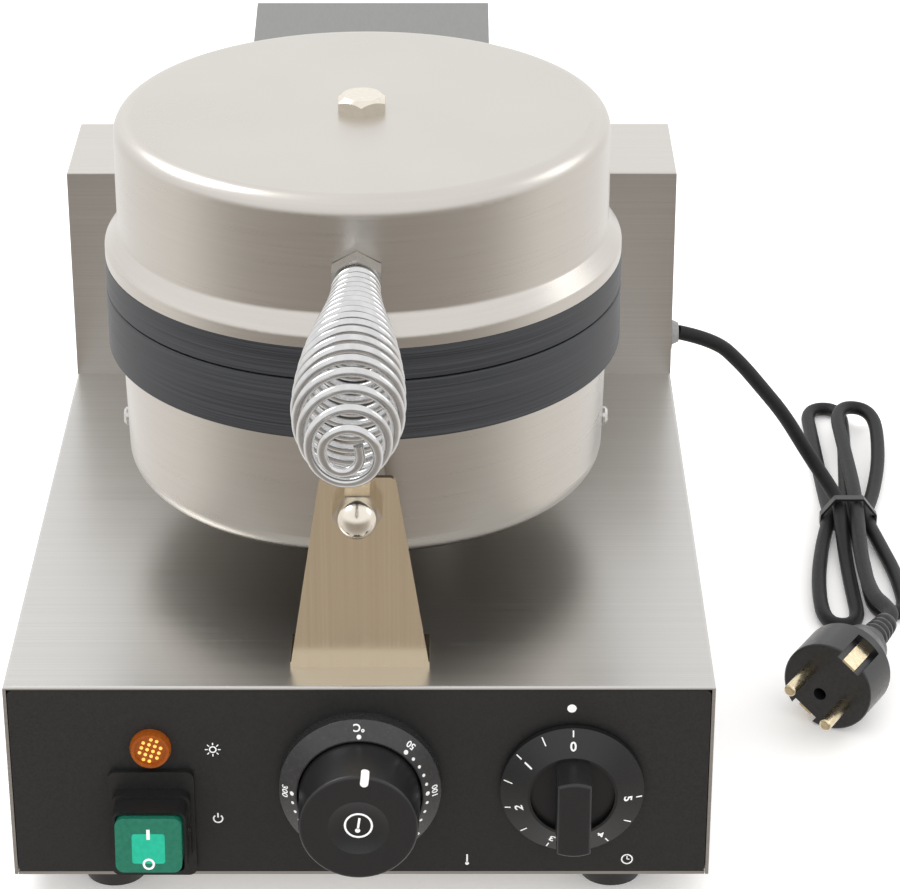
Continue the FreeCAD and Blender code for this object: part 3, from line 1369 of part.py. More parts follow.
def make_plug():
    """Wall bushing at one end of the lead, plug at the other."""
    edge = s.base_width / 2
    flange = rod(s.bushing_flange_radius, s.bushing_flange, (edge, cord_y, cord_z), RIGHTWARD)
    nose = taper(bushing_shank, s.cord_radius + s.bushing_flange / 2, s.bushing_nose,
                 (edge + s.bushing_flange, cord_y, cord_z), RIGHTWARD)
    depth = s.sheet_gauge * 6
    shank = rod(bushing_shank, depth, (edge - depth, cord_y, cord_z), RIGHTWARD)
    node("cord_bushing", join(flange, nose, shank))

    roll = FreeCAD.Rotation(FreeCAD.Vector(0, 1, 0), s.plug_roll.value)
    turn = FreeCAD.Rotation(FreeCAD.Vector(0, 0, 1), -s.plug_turn.value) * roll

    def place(item):
        return put(group(item), (plug_x, plug_y, s.plug_radius), turn)

    half = s.plug_length / 2
    shoulder = half - s.plug_front
    bevel = s.plug_notch_depth
    profile = [(0, -half), (s.plug_tail_radius, -half), (s.plug_tail_radius + s.earth_gauge, bevel - half),
               (s.plug_radius * 0.82, shoulder - bevel), (s.plug_radius, shoulder), (s.plug_radius, half),
               (0, half)]
    body = turned(profile, (0, 0, 0), FORWARD)
    soften(body, s.earth_gauge, circle_at(s.plug_radius, half))
    notch_length = s.plug_front - bevel
    notches = [box(s.plug_notch_width, notch_length, s.plug_notch_depth, 0, -half, z)
               for z in (s.plug_radius - s.plug_notch_depth, -s.plug_radius)]
    face_hole = rod(s.plug_face_hole, notch_length, (0, -half, -s.plug_tail_radius / 2), BACKWARD)
    node("plug_body", place(cut(body, face_hole, *notches)))
    pins = []
    for side in (-1, 1):
        tip = -half - s.plug_pin_length
        pin = rod(s.plug_pin_radius, s.plug_pin_length, (side * s.pin_pitch / 2, tip, 0), BACKWARD)
        pins.append(rounded(pin, s.earth_gauge, front_edges(tip)))
    width = s.plug_notch_width * 0.55
    floor = s.plug_radius - s.plug_notch_depth
    strips = [box(width, notch_length, s.earth_gauge, 0, -half, z) for z in (floor, -floor - s.earth_gauge)]
    node("plug_contacts", place(group(*pins, *strips)))
    node("plug_sleeve", place(taper(s.sleeve_root, s.sleeve_tip, s.sleeve_length, (0, half, 0), BACKWARD)))


make_base()
make_panel()
make_lamp()
make_switch()
make_thermostat()
make_timer()
make_column()
make_hinge()
make_arm()
make_lower_head()
make_brackets()
make_lid()
make_coil()
make_sensor()
make_cord()
make_tie()
make_plug()
doc.recompute()

for item in doc.Objects:
    if "Invalid" in item.State or "Error" in item.State:
        raise RuntimeError(f"{item.Name} ({item.Label}) is not in order")
for item in NODES:
    if item.Shape.isNull() or not item.Shape.isValid():
        raise RuntimeError(f"{item.Label} has no sound shape")
os.makedirs("parts", exist_ok=True)
for item in NODES:
    item.Shape.exportStep(f"parts/{item.Label}.step")
print(len(NODES), "sub-parts written")
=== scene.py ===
"""Looks of the waffle cone maker: brushed steel, black controls, chrome coil handle and tied mains lead."""
import bmesh
import bpy
import json
import math
from mathutils import Matrix, Vector


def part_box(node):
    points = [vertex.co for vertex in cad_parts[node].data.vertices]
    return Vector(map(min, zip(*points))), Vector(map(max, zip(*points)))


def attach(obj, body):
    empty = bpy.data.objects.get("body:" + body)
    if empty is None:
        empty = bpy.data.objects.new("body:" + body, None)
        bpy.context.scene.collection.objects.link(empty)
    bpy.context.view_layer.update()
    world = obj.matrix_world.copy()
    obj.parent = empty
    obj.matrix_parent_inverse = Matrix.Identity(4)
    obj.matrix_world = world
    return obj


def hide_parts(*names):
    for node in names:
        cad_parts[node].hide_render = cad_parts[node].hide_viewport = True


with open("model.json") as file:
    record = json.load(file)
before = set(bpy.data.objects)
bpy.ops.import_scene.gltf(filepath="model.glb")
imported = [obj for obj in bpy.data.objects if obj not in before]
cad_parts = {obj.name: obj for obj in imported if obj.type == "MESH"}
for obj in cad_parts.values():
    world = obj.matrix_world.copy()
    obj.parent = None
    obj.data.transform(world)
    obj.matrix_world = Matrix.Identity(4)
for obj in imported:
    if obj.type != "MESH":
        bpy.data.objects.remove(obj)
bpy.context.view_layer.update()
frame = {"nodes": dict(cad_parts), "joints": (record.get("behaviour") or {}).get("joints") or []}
nodes = frame["nodes"]
joints = {joint["name"]: joint for joint in frame["joints"]}
MM = 0.001

# Faces and axes of the frame that the added pieces sit on, in millimetres
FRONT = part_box("front_panel")[0].y / MM
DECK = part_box("base_housing")[1].z / MM
THERMOSTAT = (Vector(joints["thermostat_turn"]["pos_m"]) / MM).xz
TIMER = (Vector(joints["timer_turn"]["pos_m"]) / MM).xz
ROCKER = Vector(joints["power_rocker"]["pos_m"]) / MM
ROCKER_TILT = -joints["power_rocker"]["range_deg"][1] / 2
ROCKER_REACH = 14.0
ROCKER_WIDTH = 23.4
ROCKER_GAP = 0.1
LAMP = (-73.9, DECK - 24.4)

# Grain: how fine its noise is, and the stretch of it that goes from a finish's dark end to its light end
GRAIN_DETAIL = 3.0
GRAIN_SPAN = (0.3, 0.7)


def shade(name, **settings):
    """A new material with plain values set on its shader's sockets."""
    material = bpy.data.materials.new(name)
    material.use_nodes = True
    shader = material.node_tree.nodes["Principled BSDF"]
    for socket, value in settings.items():
        shader.inputs[socket.replace("_", " ")].default_value = value
    return material


def grain(tree, stretch):
    """Noise in the frame's own metres, stretched by how many features each axis has to the metre."""
    place = tree.nodes.new("ShaderNodeTexCoord")
    mapping = tree.nodes.new("ShaderNodeMapping")
    mapping.inputs["Scale"].default_value = stretch
    noise = tree.nodes.new("ShaderNodeTexNoise")
    noise.inputs["Scale"].default_value = 1.0
    noise.inputs["Detail"].default_value = GRAIN_DETAIL
    tree.links.new(place.outputs["Object"], mapping.inputs["Vector"])
    tree.links.new(mapping.outputs["Vector"], noise.inputs["Vector"])
    return noise.outputs["Fac"]


def ramp(tree, source, stops):
    """A number turned into a colour between stops."""
    item = tree.nodes.new("ShaderNodeValToRGB")
    elements = item.color_ramp.elements
    while len(elements) < len(stops):
        elements.new(0.5)
    for element, (position, colour) in zip(elements, stops):
        element.position = position
        element.color = (*colour, 1.0)
    tree.links.new(source, item.inputs["Fac"])
    return item.outputs["Color"]


def carried(tree, source, span, goal=(0.0, 1.0)):
    """A number carried from one range into another."""
    item = tree.nodes.new("ShaderNodeMapRange")
    for socket, value in zip(("From Min", "From Max", "To Min", "To Max"), (*span, *goal)):
        item.inputs[socket].default_value = value
    tree.links.new(source, item.inputs["Value"])
    return item.outputs["Result"]


def bump(tree, shader, source, strength, depth):
    """Relief on the surface, with its depth in millimetres."""
    item = tree.nodes.new("ShaderNodeBump")
    item.inputs["Strength"].default_value = strength
    item.inputs["Distance"].default_value = depth * MM
    tree.links.new(source, item.inputs["Height"])
    tree.links.new(item.outputs["Normal"], shader.inputs["Normal"])


def surface(name, dark, light, rough, stretch, relief=0.15, depth=0.1, **settings):
    """A finish whose colour, gloss and relief follow a stretched grain."""
    material = shade(name, **settings)
    tree = material.node_tree
    shader = tree.nodes["Principled BSDF"]
    fine = grain(tree, stretch)
    tree.links.new(ramp(tree, fine, list(zip(GRAIN_SPAN, (dark, light)))), shader.inputs["Base Color"])
    tree.links.new(carried(tree, fine, GRAIN_SPAN, rough), shader.inputs["Roughness"])
    bump(tree, shader, fine, relief, depth)
    return material


# Metals
BRUSHED = surface("brushed_steel", dark=(0.49, 0.48, 0.46), light=(0.56, 0.55, 0.53), rough=(0.28, 0.38),
                  stretch=(5, 2400, 2400), relief=0.08, Metallic=1.0)
COLUMN = surface("column_steel", dark=(0.51, 0.485, 0.455), light=(0.57, 0.545, 0.515), rough=(0.30, 0.40),
                 stretch=(5, 2400, 2400), relief=0.08, Metallic=1.0)
SHELL = surface("satin_steel", dark=(0.515, 0.49, 0.455), light=(0.54, 0.515, 0.48), rough=(0.27, 0.31),
                stretch=(20, 20, 900), relief=0.001, Metallic=1.0)
ARM = surface("arm_steel", dark=(0.25, 0.25, 0.245), light=(0.27, 0.27, 0.265), rough=(0.32, 0.38),
              stretch=(1500, 8, 1500), relief=0.02, Metallic=1.0)
BRACKET = surface("bracket_steel", dark=(0.78, 0.66, 0.49), light=(0.84, 0.72, 0.54), rough=(0.16, 0.26),
                  stretch=(900, 8, 8), relief=0.06, Metallic=1.0)
PLAIN = surface("plain_steel", dark=(0.55, 0.54, 0.52), light=(0.60, 0.585, 0.565), rough=(0.25, 0.31),
                stretch=(300, 300, 300), relief=0.01, Metallic=1.0)
NICKEL = surface("warm_nickel", dark=(0.66, 0.61, 0.53), light=(0.71, 0.66, 0.58), rough=(0.14, 0.20),
                 stretch=(500, 500, 500), relief=0.05, Metallic=1.0)
CHROME = surface("chrome", dark=(0.52, 0.52, 0.52), light=(0.60, 0.60, 0.60), rough=(0.05, 0.10),
                 stretch=(260, 260, 260), relief=0.02, Metallic=1.0)
IRON = surface("machined_iron", dark=(0.020, 0.022, 0.026), light=(0.055, 0.058, 0.064), rough=(0.42, 0.60),
               stretch=(9, 9, 1900), relief=0.35, depth=0.2, Metallic=0.3)
BRASS = surface("brass", dark=(0.62, 0.52, 0.34), light=(0.76, 0.66, 0.46), rough=(0.18, 0.30),
                stretch=(600, 600, 600), relief=0.05, Metallic=1.0)
ALUMINIUM = surface("aluminium", dark=(0.66, 0.66, 0.66), light=(0.76, 0.76, 0.76), rough=(0.30, 0.42),
                    stretch=(900, 900, 12), relief=0.08, Metallic=1.0)

# Paint, plastic and rubber
PANEL = surface("panel_black", dark=(0.010, 0.010, 0.010), light=(0.017, 0.017, 0.017), rough=(0.38, 0.50),
                stretch=(1500, 1500, 1500), relief=0.10)
KNOB = surface("knob_black", dark=(0.008, 0.008, 0.009), light=(0.013, 0.013, 0.014), rough=(0.34, 0.44),
               stretch=(1900, 1900, 1900), relief=0.05)
BEZEL = surface("bezel_black", dark=(0.024, 0.024, 0.025), light=(0.034, 0.034, 0.035), rough=(0.22, 0.28),
                stretch=(600, 600, 600), relief=0.01)
GLOSS = surface("gloss_black", dark=(0.010, 0.010, 0.010), light=(0.015, 0.015, 0.015), rough=(0.32, 0.40),
                stretch=(900, 900, 900), relief=0.01)
RUBBER = surface("black_rubber", dark=(0.018, 0.018, 0.018), light=(0.034, 0.034, 0.034), rough=(0.55, 0.72),
                 stretch=(800, 800, 800), relief=0.2)
CORD = surface("cord_rubber", dark=(0.008, 0.008, 0.009), light=(0.015, 0.015, 0.016), rough=(0.46, 0.60),
               stretch=(900, 900, 900), relief=0.1, Specular_IOR_Level=0.25)
PLUG = surface("plug_rubber", dark=(0.012, 0.012, 0.013), light=(0.022, 0.022, 0.023), rough=(0.28, 0.42),
               stretch=(700, 700, 700), relief=0.1)
GREY = surface("grey_plastic", dark=(0.24, 0.24, 0.235), light=(0.31, 0.31, 0.305), rough=(0.40, 0.52),
               stretch=(600, 600, 600))
CREAM = surface("inner_plastic", dark=(0.66, 0.64, 0.58), light=(0.76, 0.74, 0.68), rough=(0.40, 0.52),
                stretch=(400, 400, 400))
WHITE = surface("white_marking", dark=(0.86, 0.86, 0.85), light=(0.94, 0.94, 0.93), rough=(0.45, 0.6),
                stretch=(900, 900, 900), relief=0.04)

# Lit plastic
GREEN = surface("green_rocker", dark=(0.010, 0.12, 0.075), light=(0.014, 0.15, 0.095), rough=(0.16, 0.24),
                stretch=(700, 700, 700), relief=0.03,
                Emission_Color=(0.01, 0.25, 0.15, 1.0), Emission_Strength=0.10)
BRIGHT = surface("green_window", dark=(0.008, 0.30, 0.19), light=(0.012, 0.37, 0.24), rough=(0.14, 0.22),
                 stretch=(600, 600, 600), relief=0.03,
                 Emission_Color=(0.01, 0.55, 0.34, 1.0), Emission_Strength=0.25)
AMBER = surface("amber_lens", dark=(0.19, 0.038, 0.002), light=(0.27, 0.06, 0.004), rough=(0.08, 0.15),
                stretch=(700, 700, 700), relief=0.03,
                Emission_Color=(0.8, 0.2, 0.01, 1.0), Emission_Strength=0.10)
GLOW = surface("amber_glow", dark=(0.95, 0.50, 0.08), light=(1.0, 0.62, 0.16), rough=(0.2, 0.3),
               stretch=(800, 800, 800), relief=0.02,
               Emission_Color=(1.0, 0.45, 0.08, 1.0), Emission_Strength=0.7)

FINISH = {
    BRUSHED: "base_housing bottom_plate rear_cover",
    COLUMN: "hinge_column",
    SHELL: "lower_shell upper_shell",
    ARM: "lid_arm",
    BRACKET: "front_bracket rear_bracket",
    PLAIN: "foot_screws underside_screws rear_cover_screws hinge_bracket_screws bracket_screws "
           "lower_shell_screws hinge_bracket hinge_pin hinge_clips spacer_sleeves bracket_studs "
           "lower_element lower_press_plate lower_press_nut lower_center_bolt upper_element "
           "upper_press_plate upper_press_nut lid_arm_screws handle_stud handle_nuts "
           "thermostat_shaft timer_shaft thermostat_body thermostat_bulb",
    NICKEL: "upper_center_bolt acorn_nut",
    CHROME: "handle_coil",
    IRON: "lower_plate upper_plate",
    PANEL: "front_panel",
    KNOB: "thermostat_knob timer_knob",
    BEZEL: "thermostat_bezel",
    GLOSS: "switch_frame cord_tie",
    GREEN: "switch_rocker",
    AMBER: "lamp_lens",
    RUBBER: "rubber_feet",
    PLUG: "plug_body plug_sleeve",
    GREY: "cord_bushing",
    CREAM: "terminal_block switch_body lamp_holder timer_body",
    BRASS: "plug_contacts hinge_bushes",
    ALUMINIUM: "lower_wire_conduit",
}


def dress_nodes():
    """Gives the nodes their finishes. The rocker's pivot pin is black like its frame."""
    for finish, names in FINISH.items():
        for name in names.split():
            nodes[name].data.materials.clear()
            nodes[name].data.materials.append(finish)
    rocker = nodes["switch_rocker"].data
    rocker.materials.append(GLOSS)
    pin_start = ROCKER_WIDTH / 2 + ROCKER_GAP
    for face in rocker.polygons:
        face.material_index = int(abs(face.center.x / MM - ROCKER.x) > pin_start)


# Mains lead: control points from the wall bushing to the hank, in millimetres
CORD_DIAMETER = 6.3
LEAD = [
    (130, 180, 96.2), (146, 182.4, 91.6), (158, 186.5, 78.7), (168.5, 191, 64.2), (179, 195.5, 49.5),
    (188.9, 199.5, 31.7), (195.2, 198.5, 22.0), (200.6, 193.4, 15.2), (204.4, 185.7, 10.8), (203.7, 172, 8.0),
]
# Hank: place along it from its waist, then across and up in strand spacings, with two points at each fold
HANK_WAIST = Vector((208.0, 185.0, 3.2))
STRAND_SPACING = 6.9
STRANDS = [
    (-40, -0.68, 0), (-66, -0.74, 0), (-96, -0.74, 0), (-96, -2.85, 0), (-62, -2.8, 0), (-24, -1.95, 0.04),
    (0, -1.07, 0.217), (24, -1.12, 0.04), (82, -1.05, 0), (112.8, -1.05, 0), (112.8, 1.34, 0), (82, 1.1, 0),
    (24, 0.29, 0.04), (0, 0, 0.217), (-24, 0.38, 0.04), (-56, 0.34, 0), (-86, 0.34, 0), (-86, 2.3, 0),
    (-54, 2.25, 0), (-24, 1.65, 0.04), (0, 1.07, 0.217), (24, 2.1, 0.04), (60, 3.1, 0.3), (101, 3.4, 0.8),
    (101, 0.65, 1.05), (55, 0.652, 1.05), (24, 0.652, 1.1), (0, 0.53, 1.14), (-24, 0.29, 1.13),
    (-55, 0, 1.05), (-85, 0.07, 1.28), (-105, 0.6, 2.0),
]
# Plug: where the cord enters its sleeve, and which way its pins point
SLEEVE_END = Vector((210.1, 64.2, 18.5))
PLUG_WAY = Vector((-0.5, -0.866, 0.0))


def cord_points():
    """The lead's control points in metres."""
    points = [Vector(place) for place in LEAD]
    for along, across, up in STRANDS:
        points.append(HANK_WAIST + Vector((across * STRAND_SPACING, along, up * STRAND_SPACING)))
    points.append(SLEEVE_END - PLUG_WAY * CORD_DIAMETER)
    points.append(SLEEVE_END)
    return [point * MM for point in points]


def make_cord(tail):
    """One smooth lead from the wall bushing to the plug."""
    curve = bpy.data.curves.new("mains_lead", "CURVE")
    curve.dimensions = "3D"
    spline = curve.splines.new("NURBS")
    points = cord_points()
    spline.points.add(len(points) - 1)
    for point, place in zip(spline.points, points):
        point.co = (*place, 1.0)
    spline.order_u = 3
    spline.use_endpoint_u = True
    spline.resolution_u = 10
    curve.bevel_depth = CORD_DIAMETER / 2 * MM
    curve.bevel_resolution = 6
    curve.materials.append(CORD)
    piece = bpy.data.objects.new("mains_lead", curve)
    bpy.context.collection.objects.link(piece)
    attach(piece, "base")
    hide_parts("power_cord", "cord_hank")


def dial_place(centre, radius, height, angle, lean=0.0):
    """A flat spot on a dial: up points away from its centre, and its face leans outwards by an angle."""
    turn = math.radians(angle)
    outward = Vector((math.sin(turn), 0.0, math.cos(turn)))
    ahead = Vector((0.0, -1.0, 0.0))
    normal = ahead * math.cos(lean) + outward * math.sin(lean)
    up = outward * math.cos(lean) - ahead * math.sin(lean)
    right = up.cross(normal)
    spot = Vector((centre[0], FRONT - height, centre[1])) + outward * radius
    place = Matrix((right, up, normal)).transposed().to_4x4()
    place.translation = spot
    return place


def slope_place(centre, slope, lift, radius, angle):
    """A spot just off a dial's sloping face, which is given as radius and height at both its ends."""
    (inner, top), (outer, edge) = slope
    fall = (top - edge) / (outer - inner)
    height = top - (radius - inner) * fall + lift
    return dial_place(centre, radius, height, angle, math.atan(fall))


def shift(place, right=0.0, up=0.0, turn=0.0):
    """A spot moved and turned within its own face."""
    return place @ Matrix.Translation((right, up, 0.0)) @ Matrix.Rotation(math.radians(turn), 4, "Z")


# Marks: a disc's sides, a ring's step in degrees, and how much bolder than plain the numbers are
DISC_SIDES = 24
RING_STEP = 9.0
BOLDNESS = 0.025


def disc(mesh, place, radius):
    """A round mark."""
    bmesh.ops.create_circle(mesh, cap_ends=True, segments=DISC_SIDES, radius=radius, matrix=place)


def bar(mesh, place, width, height):
    """A straight mark."""
    sized = place @ Matrix.Diagonal((width, height, 1.0, 1.0))
    bmesh.ops.create_grid(mesh, x_segments=1, y_segments=1, size=0.5, matrix=sized)


def strip(mesh, rows):
    """Faces along rows of two points."""
    for (near, far), (next_near, next_far) in zip(rows, rows[1:]):
        mesh.faces.new((near, next_near, next_far, far))


def ring(mesh, place, radius, width, start=0.0, sweep=360.0):
    """A mark that goes round, clockwise from its top."""
    count = int(sweep / RING_STEP)
    edges = (radius - width / 2, radius + width / 2)
    rows = []
    for step in range(count + 1):
        turn = math.radians(start + sweep * step / count)
        along = Vector((math.sin(turn), math.cos(turn), 0.0))
        rows.append([mesh.verts.new(place @ (along * edge)) for edge in edges])
    strip(mesh, rows)


def number(mesh, place, text, size):
    """A number in the plain built-in lettering."""
    curve = bpy.data.curves.new("number", "FONT")
    curve.body = text
    curve.size = size
    curve.offset = size * BOLDNESS
    curve.align_x = "CENTER"
    curve.align_y = "CENTER"
    holder = bpy.data.objects.new("number", curve)
    flat = bpy.data.meshes.new_from_object(holder)
    flat.transform(place)
    mesh.from_mesh(flat)
    bpy.data.objects.remove(holder)
    bpy.data.curves.remove(curve)
    bpy.data.meshes.remove(flat)


def piece_from(name, mesh, finish, body, smooth=False):
    """Turns a mesh drawn in millimetres into a piece that rides on a body."""
    bmesh.ops.transform(mesh, matrix=Matrix.Scale(MM, 4), verts=mesh.verts)
    data = bpy.data.meshes.new(name)
    mesh.to_mesh(data)
    mesh.free()
    for face in data.polygons:
        face.use_smooth = smooth
    data.materials.append(finish)
    item = bpy.data.objects.new(name, data)
    bpy.context.collection.objects.link(item)
    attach(item, body)
    return item


def thermometer(mesh, place, tall):
    """A thermometer sign: a bulb and a stem, in shares of its height."""
    disc(mesh, shift(place, up=-0.36 * tall), radius=0.15 * tall)
    bar(mesh, shift(place, up=0.1 * tall), width=0.13 * tall, height=0.75 * tall)


# Thermostat's scale: the bezel's slope, then angles in degrees, radii and mark sizes in millimetres
BEZEL_SLOPE = ((22.75, 9.0), (28.85, 5.0))
BEZEL_LIFT = 0.08
TEMPERATURES = (50, 100, 150, 200, 250, 300)
SCALE_START = 43.2
DOT_STEP = 9.12
DOTS_PER_NUMBER = 5
DOTS_AT = 24.0
TOP_DOT_AT = 23.8
LARGE_DOT = 0.85
SMALL_DOT = 0.62
NUMBERS_AT = 26.6
NUMBER_SIZE = 3.3
UNIT_SIZE = 3.8


def bezel_place(radius, angle):
    """A spot on the bezel's slope."""
    return slope_place(THERMOSTAT, BEZEL_SLOPE, BEZEL_LIFT, radius, angle)


def thermostat_scale():
    """Dots and numbers on the bezel. The numbers' feet point outwards."""
    mesh = bmesh.new()
    for step in range(DOTS_PER_NUMBER * (len(TEMPERATURES) - 1) + 1):
        size = SMALL_DOT if step % DOTS_PER_NUMBER else LARGE_DOT
        disc(mesh, bezel_place(DOTS_AT, SCALE_START + DOT_STEP * step), size)
    for step, value in enumerate(TEMPERATURES):
        place = bezel_place(NUMBERS_AT, SCALE_START + DOT_STEP * DOTS_PER_NUMBER * step)
        number(mesh, shift(place, turn=180), str(value), NUMBER_SIZE)
    number(mesh, shift(bezel_place(NUMBERS_AT, 0), turn=180), "°C", UNIT_SIZE)
    disc(mesh, bezel_place(TOP_DOT_AT, 0), LARGE_DOT)
    piece_from("thermostat_scale", mesh, WHITE, "base")


# Thermostat's knob: its pointer as radius and height over the rounded rim, and the sign in its hollow
POINTER = [(18.4, 30.07), (19.7, 30.07), (20.45, 29.95), (20.9, 29.5), (21.07, 28.8), (21.07, 26.6)]
POINTER_HALF_WIDTH = 1.45
POINTER_ANGLE = 7.0
FACE_END_LIFT = 0.02
SIDE_END_LIFT = 0.05
HOLLOW_RING_HEIGHT = 28.2
HOLLOW_SIGN_HEIGHT = 27.95
HOLLOW_SIGN_TURN = -8.0


def thermostat_pointer():
    """Pointer over the knob's rim with round ends, and a ringed thermometer in its hollow."""
    mesh = bmesh.new()
    ring(mesh, dial_place(THERMOSTAT, 0.0, HOLLOW_RING_HEIGHT, 0), radius=4.7, width=0.75)
    sign = dial_place(THERMOSTAT, 0.0, HOLLOW_SIGN_HEIGHT, 0)
    thermometer(mesh, shift(sign, turn=HOLLOW_SIGN_TURN), tall=6.2)
    rows = []
    for radius, height in POINTER:
        place = dial_place(THERMOSTAT, radius, height, POINTER_ANGLE)
        sides = (POINTER_HALF_WIDTH, -POINTER_HALF_WIDTH)
        rows.append([mesh.verts.new(place @ Vector((side, 0, 0))) for side in sides])
    strip(mesh, rows)
    radius, height = POINTER[0]
    place = dial_place(THERMOSTAT, radius, height + FACE_END_LIFT, POINTER_ANGLE)
    disc(mesh, place, POINTER_HALF_WIDTH)
    radius, height = POINTER[-1]
    place = dial_place(THERMOSTAT, radius + SIDE_END_LIFT, height, POINTER_ANGLE, lean=math.radians(90))
    disc(mesh, place, POINTER_HALF_WIDTH)
    piece_from("thermostat_pointer", mesh, WHITE, "thermostat")


# Timer's scale: the skirt's slope, then the minutes and their marks in millimetres
SKIRT_SLOPE = ((16.0, 8.0), (25.5, 3.4))
SKIRT_LIFT = 0.10
MINUTES = 5
MINUTE_STEP = joints["timer_turn"]["range_deg"][1] / MINUTES
MINUTES_AT = 19.6
MINUTE_SIZE = 4.6
TICKS_AT = 23.8
HALF_TICKS_AT = 23.2


def skirt_place(radius, angle):
    """A spot on the skirt's slope."""
    return slope_place(TIMER, SKIRT_SLOPE, SKIRT_LIFT, radius, angle)


def timer_marks():
    """Numbers and ticks on the timer's skirt, anticlockwise from its top."""
    mesh = bmesh.new()
    for minute in range(MINUTES + 1):
        angle = -MINUTE_STEP * minute
        number(mesh, skirt_place(MINUTES_AT, angle), str(minute), MINUTE_SIZE)
        bar(mesh, skirt_place(TICKS_AT, angle), width=0.5, height=2.4)
        if minute < MINUTES:
            bar(mesh, skirt_place(HALF_TICKS_AT, angle - MINUTE_STEP / 2), width=0.45, height=3.4)
    piece_from("timer_scale", mesh, WHITE, "timer")


# Signs on the panel: their centres across and up, in millimetres
PANEL_LIFT = 0.08
TIMER_DOT = (74.7, DECK - 8.7)
LAMP_SIGN = (-52.0, DECK - 25.5)
POWER_SIGN = (-51.0, DECK - 54.3)
HEAT_SIGN = (38.0, DECK - 71.7)
CLOCK_SIGN = (95.5, DECK - 71.6)
RAYS = 8


def panel_place(centre):
    """A spot just off the panel."""
    return dial_place(centre, 0.0, PANEL_LIFT, 0)


def light_sign(mesh, place):
    """A ring with rays."""
    ring(mesh, place, radius=1.15, width=0.5)
    for ray in range(RAYS):
        bar(mesh, shift(shift(place, turn=360 / RAYS * ray), up=2.3), width=0.4, height=1.0)


def power_sign(mesh, place):
    """An open ring with a bar in its gap."""
    ring(mesh, place, radius=1.6, width=0.55, start=40, sweep=280)
    bar(mesh, shift(place, up=1.4), width=0.55, height=1.9)


def clock_sign(mesh, place):
    """A ring with two hands."""
    ring(mesh, place, radius=1.9, width=0.5)
    bar(mesh, shift(place, up=0.6), width=0.4, height=1.3)
    bar(mesh, shift(place, right=0.45), width=0.9, height=0.4)


def panel_signs():
    """Plain signs beside the controls, and the dot above the timer."""
    mesh = bmesh.new()
    disc(mesh, panel_place(TIMER_DOT), radius=1.64)
    light_sign(mesh, panel_place(LAMP_SIGN))
    power_sign(mesh, panel_place(POWER_SIGN))
    thermometer(mesh, panel_place(HEAT_SIGN), tall=4.6)
    clock_sign(mesh, panel_place(CLOCK_SIGN))
    piece_from("panel_signs", mesh, WHITE, "base")


# Pilot lamp's beads: how many stand in each row, and their sizes in millimetres
BEAD_ROWS = (2, 4, 4, 4, 2)
BEAD_PITCH = 2.15
BEAD_TURN = math.radians(20)
BEAD_RADIUS = 0.66
BEAD_FLATNESS = 0.7
BEAD_HEIGHT = 2.45


def lamp_beads():
    """Slanting rows of lit beads in the pilot lamp's lens."""
    mesh = bmesh.new()
    flat = Matrix.Diagonal((1.0, BEAD_FLATNESS, 1.0, 1.0))
    for row, count in enumerate(BEAD_ROWS):
        up = ((len(BEAD_ROWS) - 1) / 2 - row) * BEAD_PITCH
        for column in range(count):
            across = (column - (count - 1) / 2) * BEAD_PITCH
            x = LAMP[0] + across * math.cos(BEAD_TURN) + up * math.sin(BEAD_TURN)
            z = LAMP[1] + up * math.cos(BEAD_TURN) - across * math.sin(BEAD_TURN)
            place = Matrix.Translation((x, FRONT - BEAD_HEIGHT, z)) @ flat
            bmesh.ops.create_uvsphere(mesh, u_segments=14, v_segments=8, radius=BEAD_RADIUS, matrix=place)
    piece_from("lamp_beads", mesh, GLOW, "base", smooth=True)


# Rocker's marks: how far they stand off its face and up it, in millimetres
WINDOW_LIFT = 0.05
WINDOW_UP = -1.2
WINDOW_CORNER = 1.0
SIGN_LIFT = 0.09
ON_UP = 4.2
OFF_UP = -7.0


def rocker_place(up, lift):
    """A spot just off the rocker's face at rest."""
    tilt = Matrix.Translation(ROCKER) @ Matrix.Rotation(math.radians(ROCKER_TILT), 4, "X")
    spot = dial_place((0.0, 0.0), 0.0, 0.0, 0)
    spot.translation = Vector((0.0, -ROCKER_REACH - lift, up))
    return tilt @ spot


def rocker_marks():
    """Bright window and the two signs on the rocker."""
    mesh = bmesh.new()
    bar(mesh, rocker_place(WINDOW_UP, WINDOW_LIFT), width=11.6, height=11.2)
    window = piece_from("rocker_window", mesh, BRIGHT, "rocker")
    rim = window.modifiers.new("rim", "BEVEL")
    rim.width = WINDOW_CORNER * MM
    rim.affect = "VERTICES"
    rim.segments = 4
    mesh = bmesh.new()
    bar(mesh, rocker_place(ON_UP, SIGN_LIFT), width=1.2, height=3.8)
    ring(mesh, rocker_place(OFF_UP, SIGN_LIFT), radius=1.75, width=0.8)
    piece_from("rocker_signs", mesh, WHITE, "rocker")


# Plug's sleeve: places along it from its wide end and radii, and each rib's groove as steps along and in
SLEEVE_LENGTH = 22.0
SLEEVE_ROOT = 6.5
SLEEVE_TIP = 4.6
TIP_EDGE = (0.6, 0.5)
RIBS = 5
RIB_START = 2.0
RIB_PITCH = 3.6
RIB_RADIUS = 6.4
RIB_TAPER = 0.32
GROOVE = ((0.0, 0.0), (0.5, 0.9), (1.5, 0.95), (2.0, 0.15))


def sleeve_profile():
    """Half the sleeve's section, as places along it and radii."""
    profile = [(0.0, 0.0), (0.0, SLEEVE_ROOT)]
    for rib in range(RIBS):
        start = RIB_START + RIB_PITCH * rib
        wide = RIB_RADIUS - RIB_TAPER * rib
        profile += [(start + along, wide - deep) for along, deep in GROOVE]
    along, deep = TIP_EDGE
    profile += [(SLEEVE_LENGTH - along, SLEEVE_TIP), (SLEEVE_LENGTH, SLEEVE_TIP - deep), (SLEEVE_LENGTH, 0.0)]
    return profile


